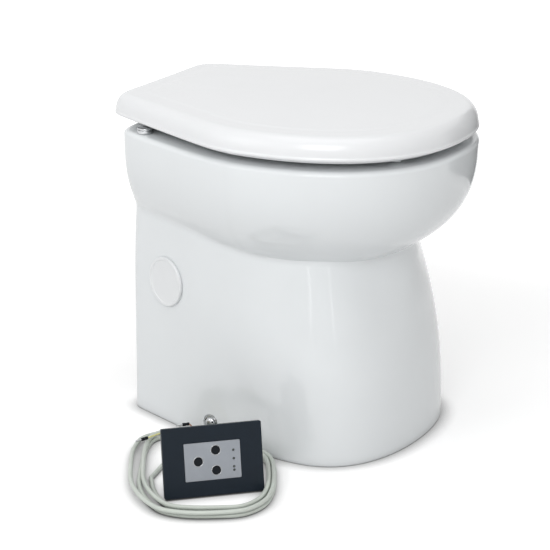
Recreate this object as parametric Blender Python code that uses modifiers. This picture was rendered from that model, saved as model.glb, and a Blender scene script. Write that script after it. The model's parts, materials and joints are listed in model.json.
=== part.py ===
"""Electric marine toilet with a macerator pump, a ceramic bowl, a seat, a lid and a control panel.

Metres, +Z up. The origin is on the floor, under the middle of the rear wall's foot. The front of
the bowl points along -Y and +X is to the right of someone who stands behind the toilet.
"""

import math

import bmesh
import bpy
import numpy as np
from mathutils import Matrix, Vector

# Driving dimensions of the ceramic, with reaches counted from the bowl's upright axis
RIM_HEIGHT = 0.369
BACK_REACH = 0.190
REAR_WALL = 0.014
BOWL_HALF_WIDTH = 0.1850
BOWL_FRONT = 0.2210
BOWL_DROP = 0.173
BOWL_FLANK_OFFSET = 0.1960
PEDESTAL_HALF_WIDTH = 0.150
PEDESTAL_FRONT = 0.175
PEDESTAL_TOP = 0.240
SKIRT_WALL = 0.012
SHELL_WALL = 0.011
PUMP_Z = 0.076
HOUSING_RADIUS = 0.046
BOWL_AXIS_Y = REAR_WALL / 2 - BACK_REACH

# Clearances that several pieces share
GAP = 0.0003
RUNNING_GAP = 0.0005
OVERRUN = 0.004
MERGE_DISTANCE = 0.00001

# Shares that shape the outlines, with no unit
CORNER_SHARE = 18
BOWL_OVAL_SHARE = 2.3
BOWL_FLANK_SLOPE_SHARE = 0.40
BOWL_CURVE_SHARE = 2.4
LEAST_SHARE = 0.001

# Sides of the round pieces
FINE_SIDES = 24
ROUND_SIDES = 16
SMALL_SIDES = 12

ORIGIN = Vector((0, 0, 0))


def clear_scene():
    """Remove what the scene holds."""
    for obj in list(bpy.data.objects):
        bpy.data.objects.remove(obj, do_unlink=True)


clear_scene()
PARTS = bpy.data.collections.new("marine_toilet")
CUTTERS = bpy.data.collections.new("cutters")
bpy.context.scene.collection.children.link(PARTS)
bpy.context.scene.collection.children.link(CUTTERS)


def material(name, colour, roughness, metallic=0.0, alpha=1.0):
    """A Principled material with one plain colour."""
    made = bpy.data.materials.new(name)
    made.use_nodes = True
    shader = made.node_tree.nodes["Principled BSDF"]
    shader.inputs["Base Color"].default_value = (*colour, 1.0)
    shader.inputs["Roughness"].default_value = roughness
    shader.inputs["Metallic"].default_value = metallic
    shader.inputs["Alpha"].default_value = alpha
    return made


CERAMIC = material("glazed_ceramic", (0.80, 0.82, 0.83), 0.08)
SEAT_WHITE = material("seat_white", (0.86, 0.87, 0.88), 0.22)
CAP_WHITE = material("cap_white", (0.80, 0.81, 0.82), 0.30)
CHROME = material("chrome", (0.78, 0.79, 0.80), 0.10, 1.0)
STEEL = material("stainless_steel", (0.60, 0.61, 0.62), 0.30, 1.0)
LAMINATION = material("lamination_steel", (0.38, 0.39, 0.40), 0.45, 1.0)
COPPER = material("copper_winding", (0.72, 0.36, 0.20), 0.35, 1.0)
MAGNET = material("ferrite_magnet", (0.10, 0.10, 0.11), 0.60)
MOTOR_PAINT = material("motor_paint", (0.05, 0.05, 0.06), 0.40)
PUMP_PLASTIC = material("pump_plastic", (0.06, 0.06, 0.07), 0.45)
RUBBER = material("black_rubber", (0.03, 0.03, 0.03), 0.75)
BUFFER_PLASTIC = material("buffer_plastic", (0.75, 0.77, 0.78), 0.25, 0.0, 0.6)
HOSE = material("clear_hose", (0.70, 0.73, 0.74), 0.30)
BRASS = material("valve_brass", (0.72, 0.55, 0.28), 0.30, 1.0)
BOX_GREY = material("box_grey", (0.33, 0.34, 0.35), 0.55)
PANEL_BLACK = material("panel_black", (0.020, 0.028, 0.036), 0.45)
PLATE_SILVER = material("plate_silver", (0.36, 0.38, 0.41), 0.35, 0.4)
BUTTON_BLACK = material("button_black", (0.012, 0.013, 0.015), 0.40)
LAMP = material("indicator_lens", (0.10, 0.11, 0.10), 0.25)
BOARD_GREEN = material("circuit_board", (0.05, 0.20, 0.10), 0.50)
SHEATH = material("cable_sheath", (0.60, 0.64, 0.60), 0.45)
CORE_YELLOW = material("core_yellow", (0.72, 0.70, 0.30), 0.45)
CORE_BROWN = material("core_brown", (0.35, 0.18, 0.12), 0.45)

TURN_TO_X = (0, math.pi / 2, 0)
TURN_TO_Y = (-math.pi / 2, 0, 0)
TURN_TO_Z = (0, 0, 0)


def add(name, mesh, finish, location=ORIGIN, turn=TURN_TO_Z, parent=None, smooth=True):
    """Put a mesh into the parts' collection as one named object."""
    mesh.name = name
    mesh.materials.clear()
    if finish is not None:
        mesh.materials.append(finish)
    if smooth:
        mesh.shade_smooth()
        mesh.set_sharp_from_angle(angle=math.radians(35))
    obj = bpy.data.objects.new(name, mesh)
    obj.location = location
    obj.rotation_euler = turn
    obj.parent = parent
    PARTS.objects.link(obj)
    return obj


def to_mesh(shape, name):
    """Turn a bmesh into a mesh and free it."""
    mesh = bpy.data.meshes.new(name)
    shape.to_mesh(mesh)
    shape.free()
    return mesh


def box(name, size, centre, finish=None, turn=TURN_TO_Z, parent=None):
    """A box of a given size about its centre."""
    shape = bmesh.new()
    bmesh.ops.create_cube(shape, size=1)
    bmesh.ops.scale(shape, vec=size, verts=shape.verts)
    return add(name, to_mesh(shape, name), finish, centre, turn, parent, smooth=False)


def rod(
    name, radius, length, centre, finish=None, turn=TURN_TO_Z, sides=SMALL_SIDES, parent=None, tip=None
):
    """A round rod about its centre, or a cone with its tip radius at the far end."""
    shape = bmesh.new()
    far = radius if tip is None else tip
    bmesh.ops.create_cone(
        shape, cap_ends=True, segments=sides, radius1=radius, radius2=far, depth=length
    )
    return add(name, to_mesh(shape, name), finish, centre, turn, parent)


def turned(
    name, profile, location, finish=None, turn=TURN_TO_Z, sides=ROUND_SIDES, parent=None, closed=False
):
    """A profile of (radius, height) turned about Z: down the outer side, from top to bottom."""
    mesh = bpy.data.meshes.new(name)
    count = len(profile)
    edges = [(i, i + 1) for i in range(count - 1)]
    if closed:
        edges.append((count - 1, 0))
    mesh.from_pydata([(radius, 0, height) for radius, height in profile], edges, [])
    obj = add(name, mesh, finish, location, turn, parent, smooth=False)
    spin = obj.modifiers.new("spin", "SCREW")
    spin.steps = sides
    spin.render_steps = sides
    spin.use_merge_vertices = True
    spin.merge_threshold = MERGE_DISTANCE
    return obj


def tube(name, points, radius, finish=None, parent=None, roundness=2, widths=None):
    """A round rod along a path, with filled ends. widths are shares of the radius at each point."""
    path = bpy.data.curves.new(name, "CURVE")
    path.dimensions = "3D"
    path.bevel_depth = radius
    path.bevel_resolution = roundness
    path.use_fill_caps = True
    spline = path.splines.new("POLY")
    spline.points.add(len(points) - 1)
    for index, place in enumerate(points):
        spline.points[index].co = (*place, 1)
        if widths is not None:
            spline.points[index].radius = widths[index]
    if finish is not None:
        path.materials.append(finish)
    obj = bpy.data.objects.new(name, path)
    obj.parent = parent
    PARTS.objects.link(obj)
    return obj


def plate(name, outline, thickness, centre, finish=None, turn=TURN_TO_Z, parent=None):
    """A flat outline of (x, y) points with a thickness about its middle plane, as a mesh."""
    flat = bpy.data.curves.new(name, "CURVE")
    flat.dimensions = "2D"
    flat.fill_mode = "BOTH"
    flat.extrude = thickness / 2
    spline = flat.splines.new("POLY")
    spline.points.add(len(outline) - 1)
    for index, place in enumerate(outline):
        spline.points[index].co = (*place, 0, 1)
    spline.use_cyclic_u = True
    obj = bpy.data.objects.new(name, flat)
    PARTS.objects.link(obj)
    return as_mesh(obj, centre, turn, finish, parent)


def as_mesh(obj, location=None, turn=None, finish=None, parent=None):
    """Make a curve object a welded mesh, so that it can be cut or joined."""
    bpy.context.view_layer.update()
    name = obj.name
    evaluated = obj.evaluated_get(bpy.context.evaluated_depsgraph_get())
    mesh = bpy.data.meshes.new_from_object(evaluated)
    place = obj.matrix_world.copy()
    parent = obj.parent if parent is None else parent
    finish = mesh.materials[0] if finish is None and len(mesh.materials) else finish
    bpy.data.objects.remove(obj, do_unlink=True)
    shape = bmesh.new()
    shape.from_mesh(mesh)
    bmesh.ops.remove_doubles(shape, verts=shape.verts, dist=MERGE_DISTANCE)
    bmesh.ops.recalc_face_normals(shape, faces=shape.faces)
    shape.to_mesh(mesh)
    shape.free()
    made = add(name, mesh, finish, ORIGIN, TURN_TO_Z, parent)
    if location is None:
        made.matrix_world = place
    else:
        made.location = location
        made.rotation_euler = turn
    return made


def guide(obj):
    """Put a piece that only cuts or joins another among the cutters."""
    PARTS.objects.unlink(obj)
    CUTTERS.objects.link(obj)
    obj.hide_render = True
    obj.display_type = "WIRE"
    return obj


def combine(obj, other, operation):
    """Boolean with a guide piece, by the exact solver."""
    made = obj.modifiers.new(operation.lower(), "BOOLEAN")
    made.operation = operation
    made.solver = "EXACT"
    made.object = guide(other)


def cut(obj, *cutters):
    """Take each cutter out of a piece."""
    for cutter in cutters:
        combine(obj, cutter, "DIFFERENCE")


def join(obj, *others):
    """Make one solid of a piece and the shapes that it is cast or welded with."""
    for other in others:
        combine(obj, other, "UNION")


def soften(obj, width, segments=2):
    """Round the edges of a piece."""
    edge = obj.modifiers.new("rounding", "BEVEL")
    edge.width = width
    edge.segments = segments
    edge.limit_method = "ANGLE"
    edge.angle_limit = math.radians(40)


def arc(centre, radius, start, end, steps):
    """Points on an arc from start to end, in degrees."""
    angles = np.radians(np.linspace(start, end, steps))
    return [(centre[0] + radius * math.cos(a), centre[1] + radius * math.sin(a)) for a in angles]


def smooth_path(points, count):
    """Evenly spaced points on one smooth curve through the route's own points."""
    route = np.array(points)
    ends = np.concatenate([[2 * route[0] - route[1]], route, [2 * route[-1] - route[-2]]])
    fine = []
    for index in range(len(route) - 1):
        a, b, c, d = ends[index : index + 4]
        for share in np.linspace(0, 1, 24, endpoint=False):
            linear = (c - a) * share
            square = (2 * a - 5 * b + 4 * c - d) * share**2
            cubic = (3 * b - a - 3 * c + d) * share**3
            fine.append(0.5 * (2 * b + linear + square + cubic))
    fine.append(route[-1])
    fine = np.array(fine)
    steps = np.linalg.norm(np.diff(fine, axis=0), axis=1)
    along = np.concatenate([[0], np.cumsum(steps)])
    places = np.linspace(0, along[-1], count)
    return np.stack([np.interp(places, along, fine[:, axis]) for axis in range(3)], axis=-1)


def laid_path(start, leaving, route, end, arriving, lead, count):
    """A smooth path through a route, with a straight length at each end."""
    first = Vector(start) + Vector(leaving) * lead
    last = Vector(end) - Vector(arriving) * lead
    middle = smooth_path([tuple(first), *route, tuple(last)], count)
    return [tuple(start)] + [tuple(place) for place in middle] + [tuple(end)]


def rounded_rectangle(width, height, radius, steps=4):
    """The outline of a rectangle about its centre, with rounded corners."""
    across = width / 2 - radius
    up = height / 2 - radius
    points = []
    for x, y, start in ((across, up, 0), (-across, up, 90), (-across, -up, 180), (across, -up, 270)):
        points += arc((x, y), radius, start, start + 90, steps)
    return points


def loft(name, rings, finish, wrap=True, caps=False):
    """A skin through rings of points: wrap joins the last ring to the first, caps fill both ends."""
    levels, around = rings.shape[:2]
    points = rings.reshape(-1, 3).tolist()
    faces = []
    for level in range(levels if wrap else levels - 1):
        low = level * around
        high = (level + 1) % levels * around
        for step in range(around):
            after = (step + 1) % around
            faces.append((low + step, low + after, high + after, high + step))
    if caps:
        last = (levels - 1) * around
        faces.append(list(range(around)))
        faces.append(list(range(last, last + around)))
    mesh = bpy.data.meshes.new(name)
    mesh.from_pydata(points, [], faces)
    shape = bmesh.new()
    shape.from_mesh(mesh)
    bmesh.ops.triangulate(shape, faces=[f for f in shape.faces if len(f.verts) == 4])
    bmesh.ops.recalc_face_normals(shape, faces=shape.faces)
    shape.to_mesh(mesh)
    shape.free()
    return add(name, mesh, finish)


# Directions round the bowl's axis, as shares of the half turn from the front tip to the rear
HALF_TURN_SHARES = (
    0, 0.065, 0.13, 0.195, 0.26, 0.32, 0.38, 0.435, 0.49, 0.54, 0.59, 0.64,
    0.695, 0.75, 0.79, 0.82, 0.842, 0.865, 0.895, 0.94, 1,
)
HALF_TURN = math.pi * np.array(HALF_TURN_SHARES)
AROUND = np.concatenate([HALF_TURN, -HALF_TURN[-2:0:-1]])
SIDE = np.abs(np.sin(AROUND))
FORWARD = np.clip(np.cos(AROUND), 0, None)
REARWARD = np.clip(-np.cos(AROUND), 0, None)


def oval(half_width, front, back, share):
    """Reach of an oval whose front and back differ; share 2 is an ellipse, more is squarer."""
    length = FORWARD / front + REARWARD / back
    return ((SIDE / half_width) ** share + length**share) ** (-1 / share)


def rounded_meet(*reaches, share=CORNER_SHARE):
    """The smallest of several reaches, with the corner between them rounded."""
    return sum(reach ** (-share) for reach in reaches) ** (-1 / share)


def flank(offset, slope_share):
    """Reach of two straight flanks that draw in towards the back."""
    inward = np.clip(SIDE + REARWARD * slope_share - FORWARD, LEAST_SHARE, None)
    return offset / inward


def ring(reach, height, shift=0.0):
    """Points at a reach from the bowl's axis, or from a point that is shifted towards the back."""
    x = reach * np.sin(AROUND)
    y = BOWL_AXIS_Y + shift - reach * np.cos(AROUND)
    return np.stack([x, y, np.broadcast_to(height, x.shape)], axis=-1)


def with_back(reach):
    """A reach that also stops at the flat rear face."""
    return rounded_meet(reach, BACK_REACH / np.clip(REARWARD, LEAST_SHARE, None))


# The ceramic's outer surface
OUTER_OVAL_BACK = 0.40
BULGE_AXIS = 0.080
BULGE_BACK_LOW = 0.095
BULGE_BACK_HIGH = 0.168
BULGE_BACK_START = 0.020
BULGE_BACK_END = 0.180
BULGE_DRAW_IN = 0.033
BULGE_SIDE_DRAW_IN = 0.018
BULGE_OVAL_SHARE = 2.6
BULGE_CURVE_SHARE = 1.9
BLOCK_HALF_WIDTH = 0.1335
BLOCK_FRONT = 0.100
BLOCK_FLANK_OFFSET = 0.1575
BLOCK_SLOPE_SHARE = 0.354
BLOCK_CORNER_SHARE = 40
WAIST_SHARE = 14
DISH_DEPTH = 0.006
DISH_SPREAD = 0.022
DISH_HEIGHT = 0.030
DISH_BEHIND_AXIS = 0.050


def bowl_reach(height):
    """The bowl's flanks and rounded underside, without its flat back."""
    depth_share = np.clip((RIM_HEIGHT - height) / BOWL_DROP, 0, 0.999)
    size_share = np.sqrt(1 - depth_share**BOWL_CURVE_SHARE)
    front = oval(BOWL_HALF_WIDTH, BOWL_FRONT, OUTER_OVAL_BACK, BOWL_OVAL_SHARE)
    return rounded_meet(front, flank(BOWL_FLANK_OFFSET, BOWL_FLANK_SLOPE_SHARE)) * size_share


def bulge_reach(height):
    """The pedestal's round front, an oval about an axis in front of the bowl's."""
    rise = np.clip(height / PEDESTAL_TOP, 0, None) ** BULGE_CURVE_SHARE
    half_width = PEDESTAL_HALF_WIDTH - BULGE_SIDE_DRAW_IN * rise
    front = PEDESTAL_FRONT - BULGE_AXIS - BULGE_DRAW_IN * rise
    blend = np.clip((height - BULGE_BACK_START) / (BULGE_BACK_END - BULGE_BACK_START), 0, 1)
    back = BULGE_BACK_LOW + (BULGE_BACK_HIGH - BULGE_BACK_LOW) * blend**2 * (3 - 2 * blend)
    near = np.zeros(AROUND.shape)
    far = np.full(AROUND.shape, PEDESTAL_FRONT * 2)
    for _ in range(40):
        reach = (near + far) / 2
        along = BULGE_AXIS - reach * np.cos(AROUND)
        length = np.where(along < 0, -along / front, along / back)
        measure = (reach * SIDE / half_width) ** BULGE_OVAL_SHARE + length**BULGE_OVAL_SHARE
        near = np.where(measure < 1, reach, near)
        far = np.where(measure < 1, far, reach)
    return (near + far) / 2


def pedestal_reach(height):
    """The pedestal: a straight-sided rear block that the round front grows out of."""
    block = rounded_meet(
        oval(BLOCK_HALF_WIDTH, BLOCK_FRONT, OUTER_OVAL_BACK, BLOCK_CORNER_SHARE),
        flank(BLOCK_FLANK_OFFSET, BLOCK_SLOPE_SHARE),
        share=BLOCK_CORNER_SHARE,
    )
    front = bulge_reach(height)
    whole = (block**WAIST_SHARE + front**WAIST_SHARE) ** (1 / WAIST_SHARE)
    behind = -whole * np.cos(AROUND) - DISH_BEHIND_AXIS
    distance = behind**2 + (height - DISH_HEIGHT) ** 2
    dish = DISH_DEPTH * np.exp(-distance / (2 * DISH_SPREAD**2)) * SIDE
    return whole - dish


def crease_height():
    """The height at which the bowl's underside meets the pedestal, in each direction."""
    low = np.full(AROUND.shape, PEDESTAL_TOP * 0.85)
    high = np.full(AROUND.shape, RIM_HEIGHT - REAR_WALL)
    for _ in range(40):
        middle = (low + high) / 2
        inside = bowl_reach(middle) < pedestal_reach(middle)
        low = np.where(inside, middle, low)
        high = np.where(inside, high, middle)
    return (low + high) / 2


# The ceramic's rim, basin and foot
RIM_THICKNESS = 0.017
RIM_ROUND = 0.008
RIM_LIP = 0.024
RIM_UNDERCUT = 0.002
FOOT_CHAMFER = 0.002
FOOT_RISE = 0.003
FOOT_WIDTH = 0.018
FOOT_HEIGHT = 0.012
BASIN_HALF_WIDTH = 0.128
BASIN_FRONT = 0.168
BASIN_BACK = 0.112
BASIN_OVAL_SHARE = 2.15
BASIN_WALL = 0.010
THROAT_RADIUS = 0.026
THROAT_BEHIND_AXIS = 0.030
TOWER_RISE = 0.048
SPIGOT_STANDOFF = 0.008
SPIGOT_LENGTH = 0.030
THROAT_RISE = 0.018
SPIGOT_RADIUS = 0.032
INLET_TOP = PUMP_Z + HOUSING_RADIUS + TOWER_RISE
SPIGOT_END = INLET_TOP + SPIGOT_STANDOFF
SPIGOT_TOP = SPIGOT_END + SPIGOT_LENGTH
THROAT_HEIGHT = SPIGOT_TOP + THROAT_RISE
# Depth below the lip, size of the opening, and how far the wall lies outwards and downwards
BASIN_SHARES = (
    (0.00, 1.07, 1.00, 0.00),
    (0.34, 1.02, 0.98, 0.20),
    (0.62, 0.83, 0.75, 0.65),
    (0.84, 0.52, 0.50, 0.85),
    (1.00, 0.07, 0.70, 0.70),
)
PEDESTAL_LEVEL_SHARES = (0.10, 0.28, 0.50, 0.70, 0.88)
BOWL_LEVEL_SHARES = (0.10, 0.24, 0.44, 0.70, 1)
INNER_PEDESTAL_LEVEL_SHARES = (0.70, 0.30)
INNER_BOWL_LEVEL_SHARES = (0.45,)


def basin_rings():
    """The basin's inner surface from the lip down, the spigot, and the wall's outer side going up."""
    opening = oval(BASIN_HALF_WIDTH, BASIN_FRONT, BASIN_BACK, BASIN_OVAL_SHARE)
    lip = RIM_HEIGHT - RIM_LIP
    inner = []
    outer = []
    for depth, size, outward, downward in BASIN_SHARES:
        height = lip - RIM_UNDERCUT - depth * (lip - RIM_UNDERCUT - THROAT_HEIGHT)
        reach = THROAT_RADIUS + (opening - THROAT_RADIUS) * size
        shift = THROAT_BEHIND_AXIS * min(max(1 - size, 0), 1)
        inner.append(ring(reach, height, shift))
        outer.append(ring(reach + BASIN_WALL * outward, height - BASIN_WALL * downward, shift))
    throat = np.full(AROUND.shape, THROAT_RADIUS)
    spigot = np.full(AROUND.shape, SPIGOT_RADIUS)
    inner.append(ring(throat, SPIGOT_END, THROAT_BEHIND_AXIS))
    inner.append(ring(spigot, SPIGOT_END, THROAT_BEHIND_AXIS))
    inner.append(ring(spigot, SPIGOT_TOP, THROAT_BEHIND_AXIS))
    return opening, inner + outer[::-1]


def basin_back(height):
    """How far back the basin's inner wall lies at a height, on the middle plane."""
    lip = RIM_HEIGHT - RIM_LIP - RIM_UNDERCUT
    depths = [row[0] for row in BASIN_SHARES]
    sizes = [row[1] for row in BASIN_SHARES]
    size = float(np.interp((lip - height) / (lip - THROAT_HEIGHT), depths, sizes))
    shift = THROAT_BEHIND_AXIS * min(max(1 - size, 0), 1)
    return BOWL_AXIS_Y + shift + THROAT_RADIUS + (BASIN_BACK - THROAT_RADIUS) * size


def ceramic_rings():
    """One closed profile in every direction: foot, pedestal, bowl, rim, basin and the inner side."""
    crease = crease_height()
    foot = with_back(pedestal_reach(0))
    top = with_back(bowl_reach(RIM_HEIGHT))
    edge = RIM_HEIGHT - RIM_ROUND
    rings = [ring(foot - FOOT_CHAMFER, 0), ring(with_back(pedestal_reach(FOOT_RISE)), FOOT_RISE)]
    for share in PEDESTAL_LEVEL_SHARES:
        rings.append(ring(with_back(pedestal_reach(crease * share)), crease * share))
    rings.append(ring(with_back(pedestal_reach(crease)), crease))
    for share in BOWL_LEVEL_SHARES:
        height = crease + (edge - crease) * share
        rings.append(ring(with_back(bowl_reach(height)), height))
    rings.append(ring(top - RIM_ROUND * 0.3, RIM_HEIGHT - RIM_ROUND * 0.3))
    rings.append(ring(top - RIM_ROUND, RIM_HEIGHT))
    opening, basin = basin_rings()
    rings.append(ring(opening + RIM_ROUND, RIM_HEIGHT))
    rings.append(ring(opening + RIM_ROUND * 0.3, RIM_HEIGHT - RIM_ROUND * 0.3))
    rings.append(ring(opening, edge))
    rings.append(ring(opening, RIM_HEIGHT - RIM_LIP))
    rings += basin
    roof = RIM_HEIGHT - RIM_THICKNESS
    rings.append(ring(THROAT_RADIUS + (opening - THROAT_RADIUS) * 1.07 + BASIN_WALL, roof))
    rings.append(ring(with_back(bowl_reach(roof)) - SHELL_WALL, roof))
    for share in INNER_BOWL_LEVEL_SHARES:
        height = crease + (roof - crease) * share
        rings.append(ring(with_back(bowl_reach(height)) - SHELL_WALL, height))
    rings.append(ring(with_back(pedestal_reach(crease)) - SKIRT_WALL, crease))
    for share in INNER_PEDESTAL_LEVEL_SHARES:
        rings.append(ring(with_back(pedestal_reach(crease * share)) - SKIRT_WALL, crease * share))
    rings.append(ring(with_back(pedestal_reach(FOOT_HEIGHT)) - SKIRT_WALL, FOOT_HEIGHT + FOOT_RISE))
    rings.append(ring(foot - FOOT_WIDTH, FOOT_HEIGHT))
    rings.append(ring(foot - FOOT_WIDTH, 0))
    return np.array(rings)


# Openings in the ceramic and what they hold
WINDOW_WIDTH = 0.128
WINDOW_BOTTOM = 0.036
WINDOW_TOP = 0.236
WINDOW_CORNER = 0.022
CAP_RADIUS = 0.0315
CAP_BEHIND_AXIS = 0.123
CAP_DROP = 0.181
CAP_HEIGHT = RIM_HEIGHT - CAP_DROP
CAP_PLUG_RADIUS = 0.0235
CAP_THICKNESS = 0.0036
CAP_RIM_WIDTH = 0.0045
CAP_DISH = 0.0008
CAP_WALL = 0.0016
CAP_PLUG_LENGTH = 0.0150
CAP_BARB = 0.0008
BOLT_BEHIND_AXIS = 0.051
BOLT_HEIGHT = 0.019
BOLT_RADIUS = 0.0035
BOLT_SEAT_X = 0.1255
BOLT_SEAT_RADIUS = 0.0105
STUD_X = 0.078
STUD_BEHIND_AXIS = 0.160
STUD_RADIUS = 0.0035
STUD_HOLE_RADIUS = 0.0055
NOZZLE_DROP = 0.047
NOZZLE_HEIGHT = RIM_HEIGHT - NOZZLE_DROP
NOZZLE_RADIUS = 0.0065
NOZZLE_BORE = 0.0040
STUD_Y = BOWL_AXIS_Y + STUD_BEHIND_AXIS
BOLT_Y = BOWL_AXIS_Y + BOLT_BEHIND_AXIS
FLANK_LEAN = math.atan(BLOCK_SLOPE_SHARE)


def flank_point(behind_axis, outward=0.0):
    """The plan place on the rear block's straight flank, moved outwards square to it."""
    x = BLOCK_FLANK_OFFSET - BLOCK_SLOPE_SHARE * behind_axis
    return x + outward * math.cos(FLANK_LEAN), BOWL_AXIS_Y + behind_axis + outward * math.sin(FLANK_LEAN)


def flank_turn(side):
    """The turn that points local +Z squarely out of the flank on one side."""
    outward = Vector((side * math.cos(FLANK_LEAN), math.sin(FLANK_LEAN), 0))
    return outward.to_track_quat("Z", "X").to_euler()


def ceramic_bowl():
    """The bowl and its pedestal, one casting, with its window and holes."""
    body = loft("ceramic_bowl", ceramic_rings(), CERAMIC)
    window = plate(
        "rear_window_cutter",
        rounded_rectangle(WINDOW_WIDTH, WINDOW_TOP - WINDOW_BOTTOM, WINDOW_CORNER),
        SKIRT_WALL * 3,
        (0, 0, (WINDOW_TOP + WINDOW_BOTTOM) / 2),
        turn=(math.pi / 2, 0, 0),
    )
    cut(body, window)
    for side, word in ((-1, "left"), (1, "right")):
        x, y = flank_point(CAP_BEHIND_AXIS)
        port = rod(
            f"port_cutter_{word}",
            CAP_PLUG_RADIUS + RUNNING_GAP,
            SKIRT_WALL * 3,
            (side * x, y, CAP_HEIGHT),
            turn=flank_turn(side),
            sides=FINE_SIDES,
        )
        reach = SKIRT_WALL * 2
        hole = BOLT_RADIUS + RUNNING_GAP
        stepped = [(0, reach), (BOLT_SEAT_RADIUS, reach), (BOLT_SEAT_RADIUS, 0)]
        stepped += [(hole, 0), (hole, -reach), (0, -reach)]
        place = (side * BOLT_SEAT_X, BOLT_Y, BOLT_HEIGHT)
        turn = (0, side * math.pi / 2, 0)
        bolt_hole = turned(f"bolt_hole_cutter_{word}", stepped, place, turn=turn, sides=14)
        stud_hole = rod(
            f"stud_hole_cutter_{word}",
            STUD_HOLE_RADIUS,
            RIM_THICKNESS * 2,
            (side * STUD_X, STUD_Y, RIM_HEIGHT - RIM_THICKNESS / 2),
            sides=ROUND_SIDES,
        )
        cut(body, port, bolt_hole, stud_hole)
    wall_y = BOWL_AXIS_Y + BASIN_BACK + BASIN_WALL
    nozzle_hole = rod(
        "nozzle_hole_cutter",
        NOZZLE_RADIUS + RUNNING_GAP,
        BASIN_WALL * 4,
        (0, wall_y, NOZZLE_HEIGHT),
        turn=TURN_TO_Y,
        sides=ROUND_SIDES,
    )
    cut(body, nozzle_hole)


def side_caps():
    """A round cap on each flank, with a raised rim, a shallow dish and a plug with a barb."""
    wall = CAP_WALL
    lip = CAP_RADIUS - CAP_RIM_WIDTH
    profile = [
        (0, CAP_THICKNESS - CAP_DISH),
        (lip, CAP_THICKNESS - CAP_DISH),
        (lip + CAP_DISH, CAP_THICKNESS),
        (CAP_RADIUS - CAP_WALL, CAP_THICKNESS),
        (CAP_RADIUS, CAP_THICKNESS - CAP_WALL),
        (CAP_RADIUS, 0),
        (CAP_PLUG_RADIUS, 0),
        (CAP_PLUG_RADIUS - CAP_BARB, -CAP_PLUG_LENGTH),
        (CAP_PLUG_RADIUS - CAP_BARB - wall, -CAP_PLUG_LENGTH),
        (CAP_PLUG_RADIUS - CAP_BARB - wall, CAP_THICKNESS - CAP_DISH - wall),
        (0, CAP_THICKNESS - CAP_DISH - wall),
    ]
    for side, word in ((-1, "left"), (1, "right")):
        x, y = flank_point(CAP_BEHIND_AXIS, RUNNING_GAP)
        place = (side * x, y, CAP_HEIGHT)
        turned(f"side_cap_{word}", profile, place, CAP_WHITE, flank_turn(side), sides=22)


# Floor brackets and the bolts that hold the pedestal to them
BOLT_HEAD_RADIUS = 0.0068
BOLT_HEAD_HEIGHT = 0.0062
WASHER_RADIUS = 0.0090
WASHER_THICKNESS = 0.0014
BOLT_LENGTH = 0.026
BRACKET_THICKNESS = 0.004
BRACKET_WIDTH = 0.034
BRACKET_HEIGHT = 0.034
BRACKET_FOOT = 0.036
BRACKET_SCREW_RADIUS = 0.0025
BRACKET_X = 0.1085


def floor_fixings():
    """An L bracket on the floor inside each flank, and a domed bolt through the ceramic into it."""
    for side, word in ((-1, "left"), (1, "right")):
        foot_inner = BRACKET_X - BRACKET_FOOT
        outline = [
            (BRACKET_X, 0),
            (BRACKET_X, BRACKET_HEIGHT),
            (BRACKET_X - BRACKET_THICKNESS, BRACKET_HEIGHT),
            (BRACKET_X - BRACKET_THICKNESS, BRACKET_THICKNESS * 2),
            (BRACKET_X - BRACKET_THICKNESS * 2, BRACKET_THICKNESS),
            (foot_inner, BRACKET_THICKNESS),
            (foot_inner, 0),
        ]
        lug = plate(
            f"floor_bracket_{word}",
            [(side * x, z) for x, z in outline],
            BRACKET_WIDTH,
            (0, BOLT_Y, 0),
            BOX_GREY,
            (math.pi / 2, 0, 0),
        )
        bolt_x = BRACKET_X - BRACKET_THICKNESS / 2
        thread = rod(
            f"bracket_bolt_cutter_{word}",
            BOLT_RADIUS + GAP,
            BRACKET_THICKNESS * 2,
            (side * bolt_x, BOLT_Y, BOLT_HEIGHT),
            turn=TURN_TO_X,
            sides=SMALL_SIDES,
        )
        screw_x = foot_inner + BRACKET_FOOT / 3
        screw_hole = rod(
            f"bracket_screw_cutter_{word}",
            BRACKET_SCREW_RADIUS,
            BRACKET_THICKNESS * 3,
            (side * screw_x, BOLT_Y, BRACKET_THICKNESS / 2),
            sides=SMALL_SIDES,
        )
        cut(lug, thread, screw_hole)
        face = BOLT_SEAT_X + GAP
        profile = [
            (0, BOLT_HEAD_HEIGHT),
            (BOLT_HEAD_RADIUS * 0.55, BOLT_HEAD_HEIGHT * 0.92),
            (BOLT_HEAD_RADIUS * 0.90, BOLT_HEAD_HEIGHT * 0.65),
            (BOLT_HEAD_RADIUS, WASHER_THICKNESS * 1.4),
            (BOLT_HEAD_RADIUS, WASHER_THICKNESS),
            (WASHER_RADIUS, WASHER_THICKNESS),
            (WASHER_RADIUS, 0),
            (BOLT_RADIUS, 0),
            (BOLT_RADIUS, -BOLT_LENGTH + BOLT_RADIUS),
            (0, -BOLT_LENGTH),
        ]
        turn = (0, side * math.pi / 2, 0)
        turned(f"floor_bolt_{word}", profile, (side * face, BOLT_Y, BOLT_HEIGHT), CHROME, turn, 12)


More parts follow.
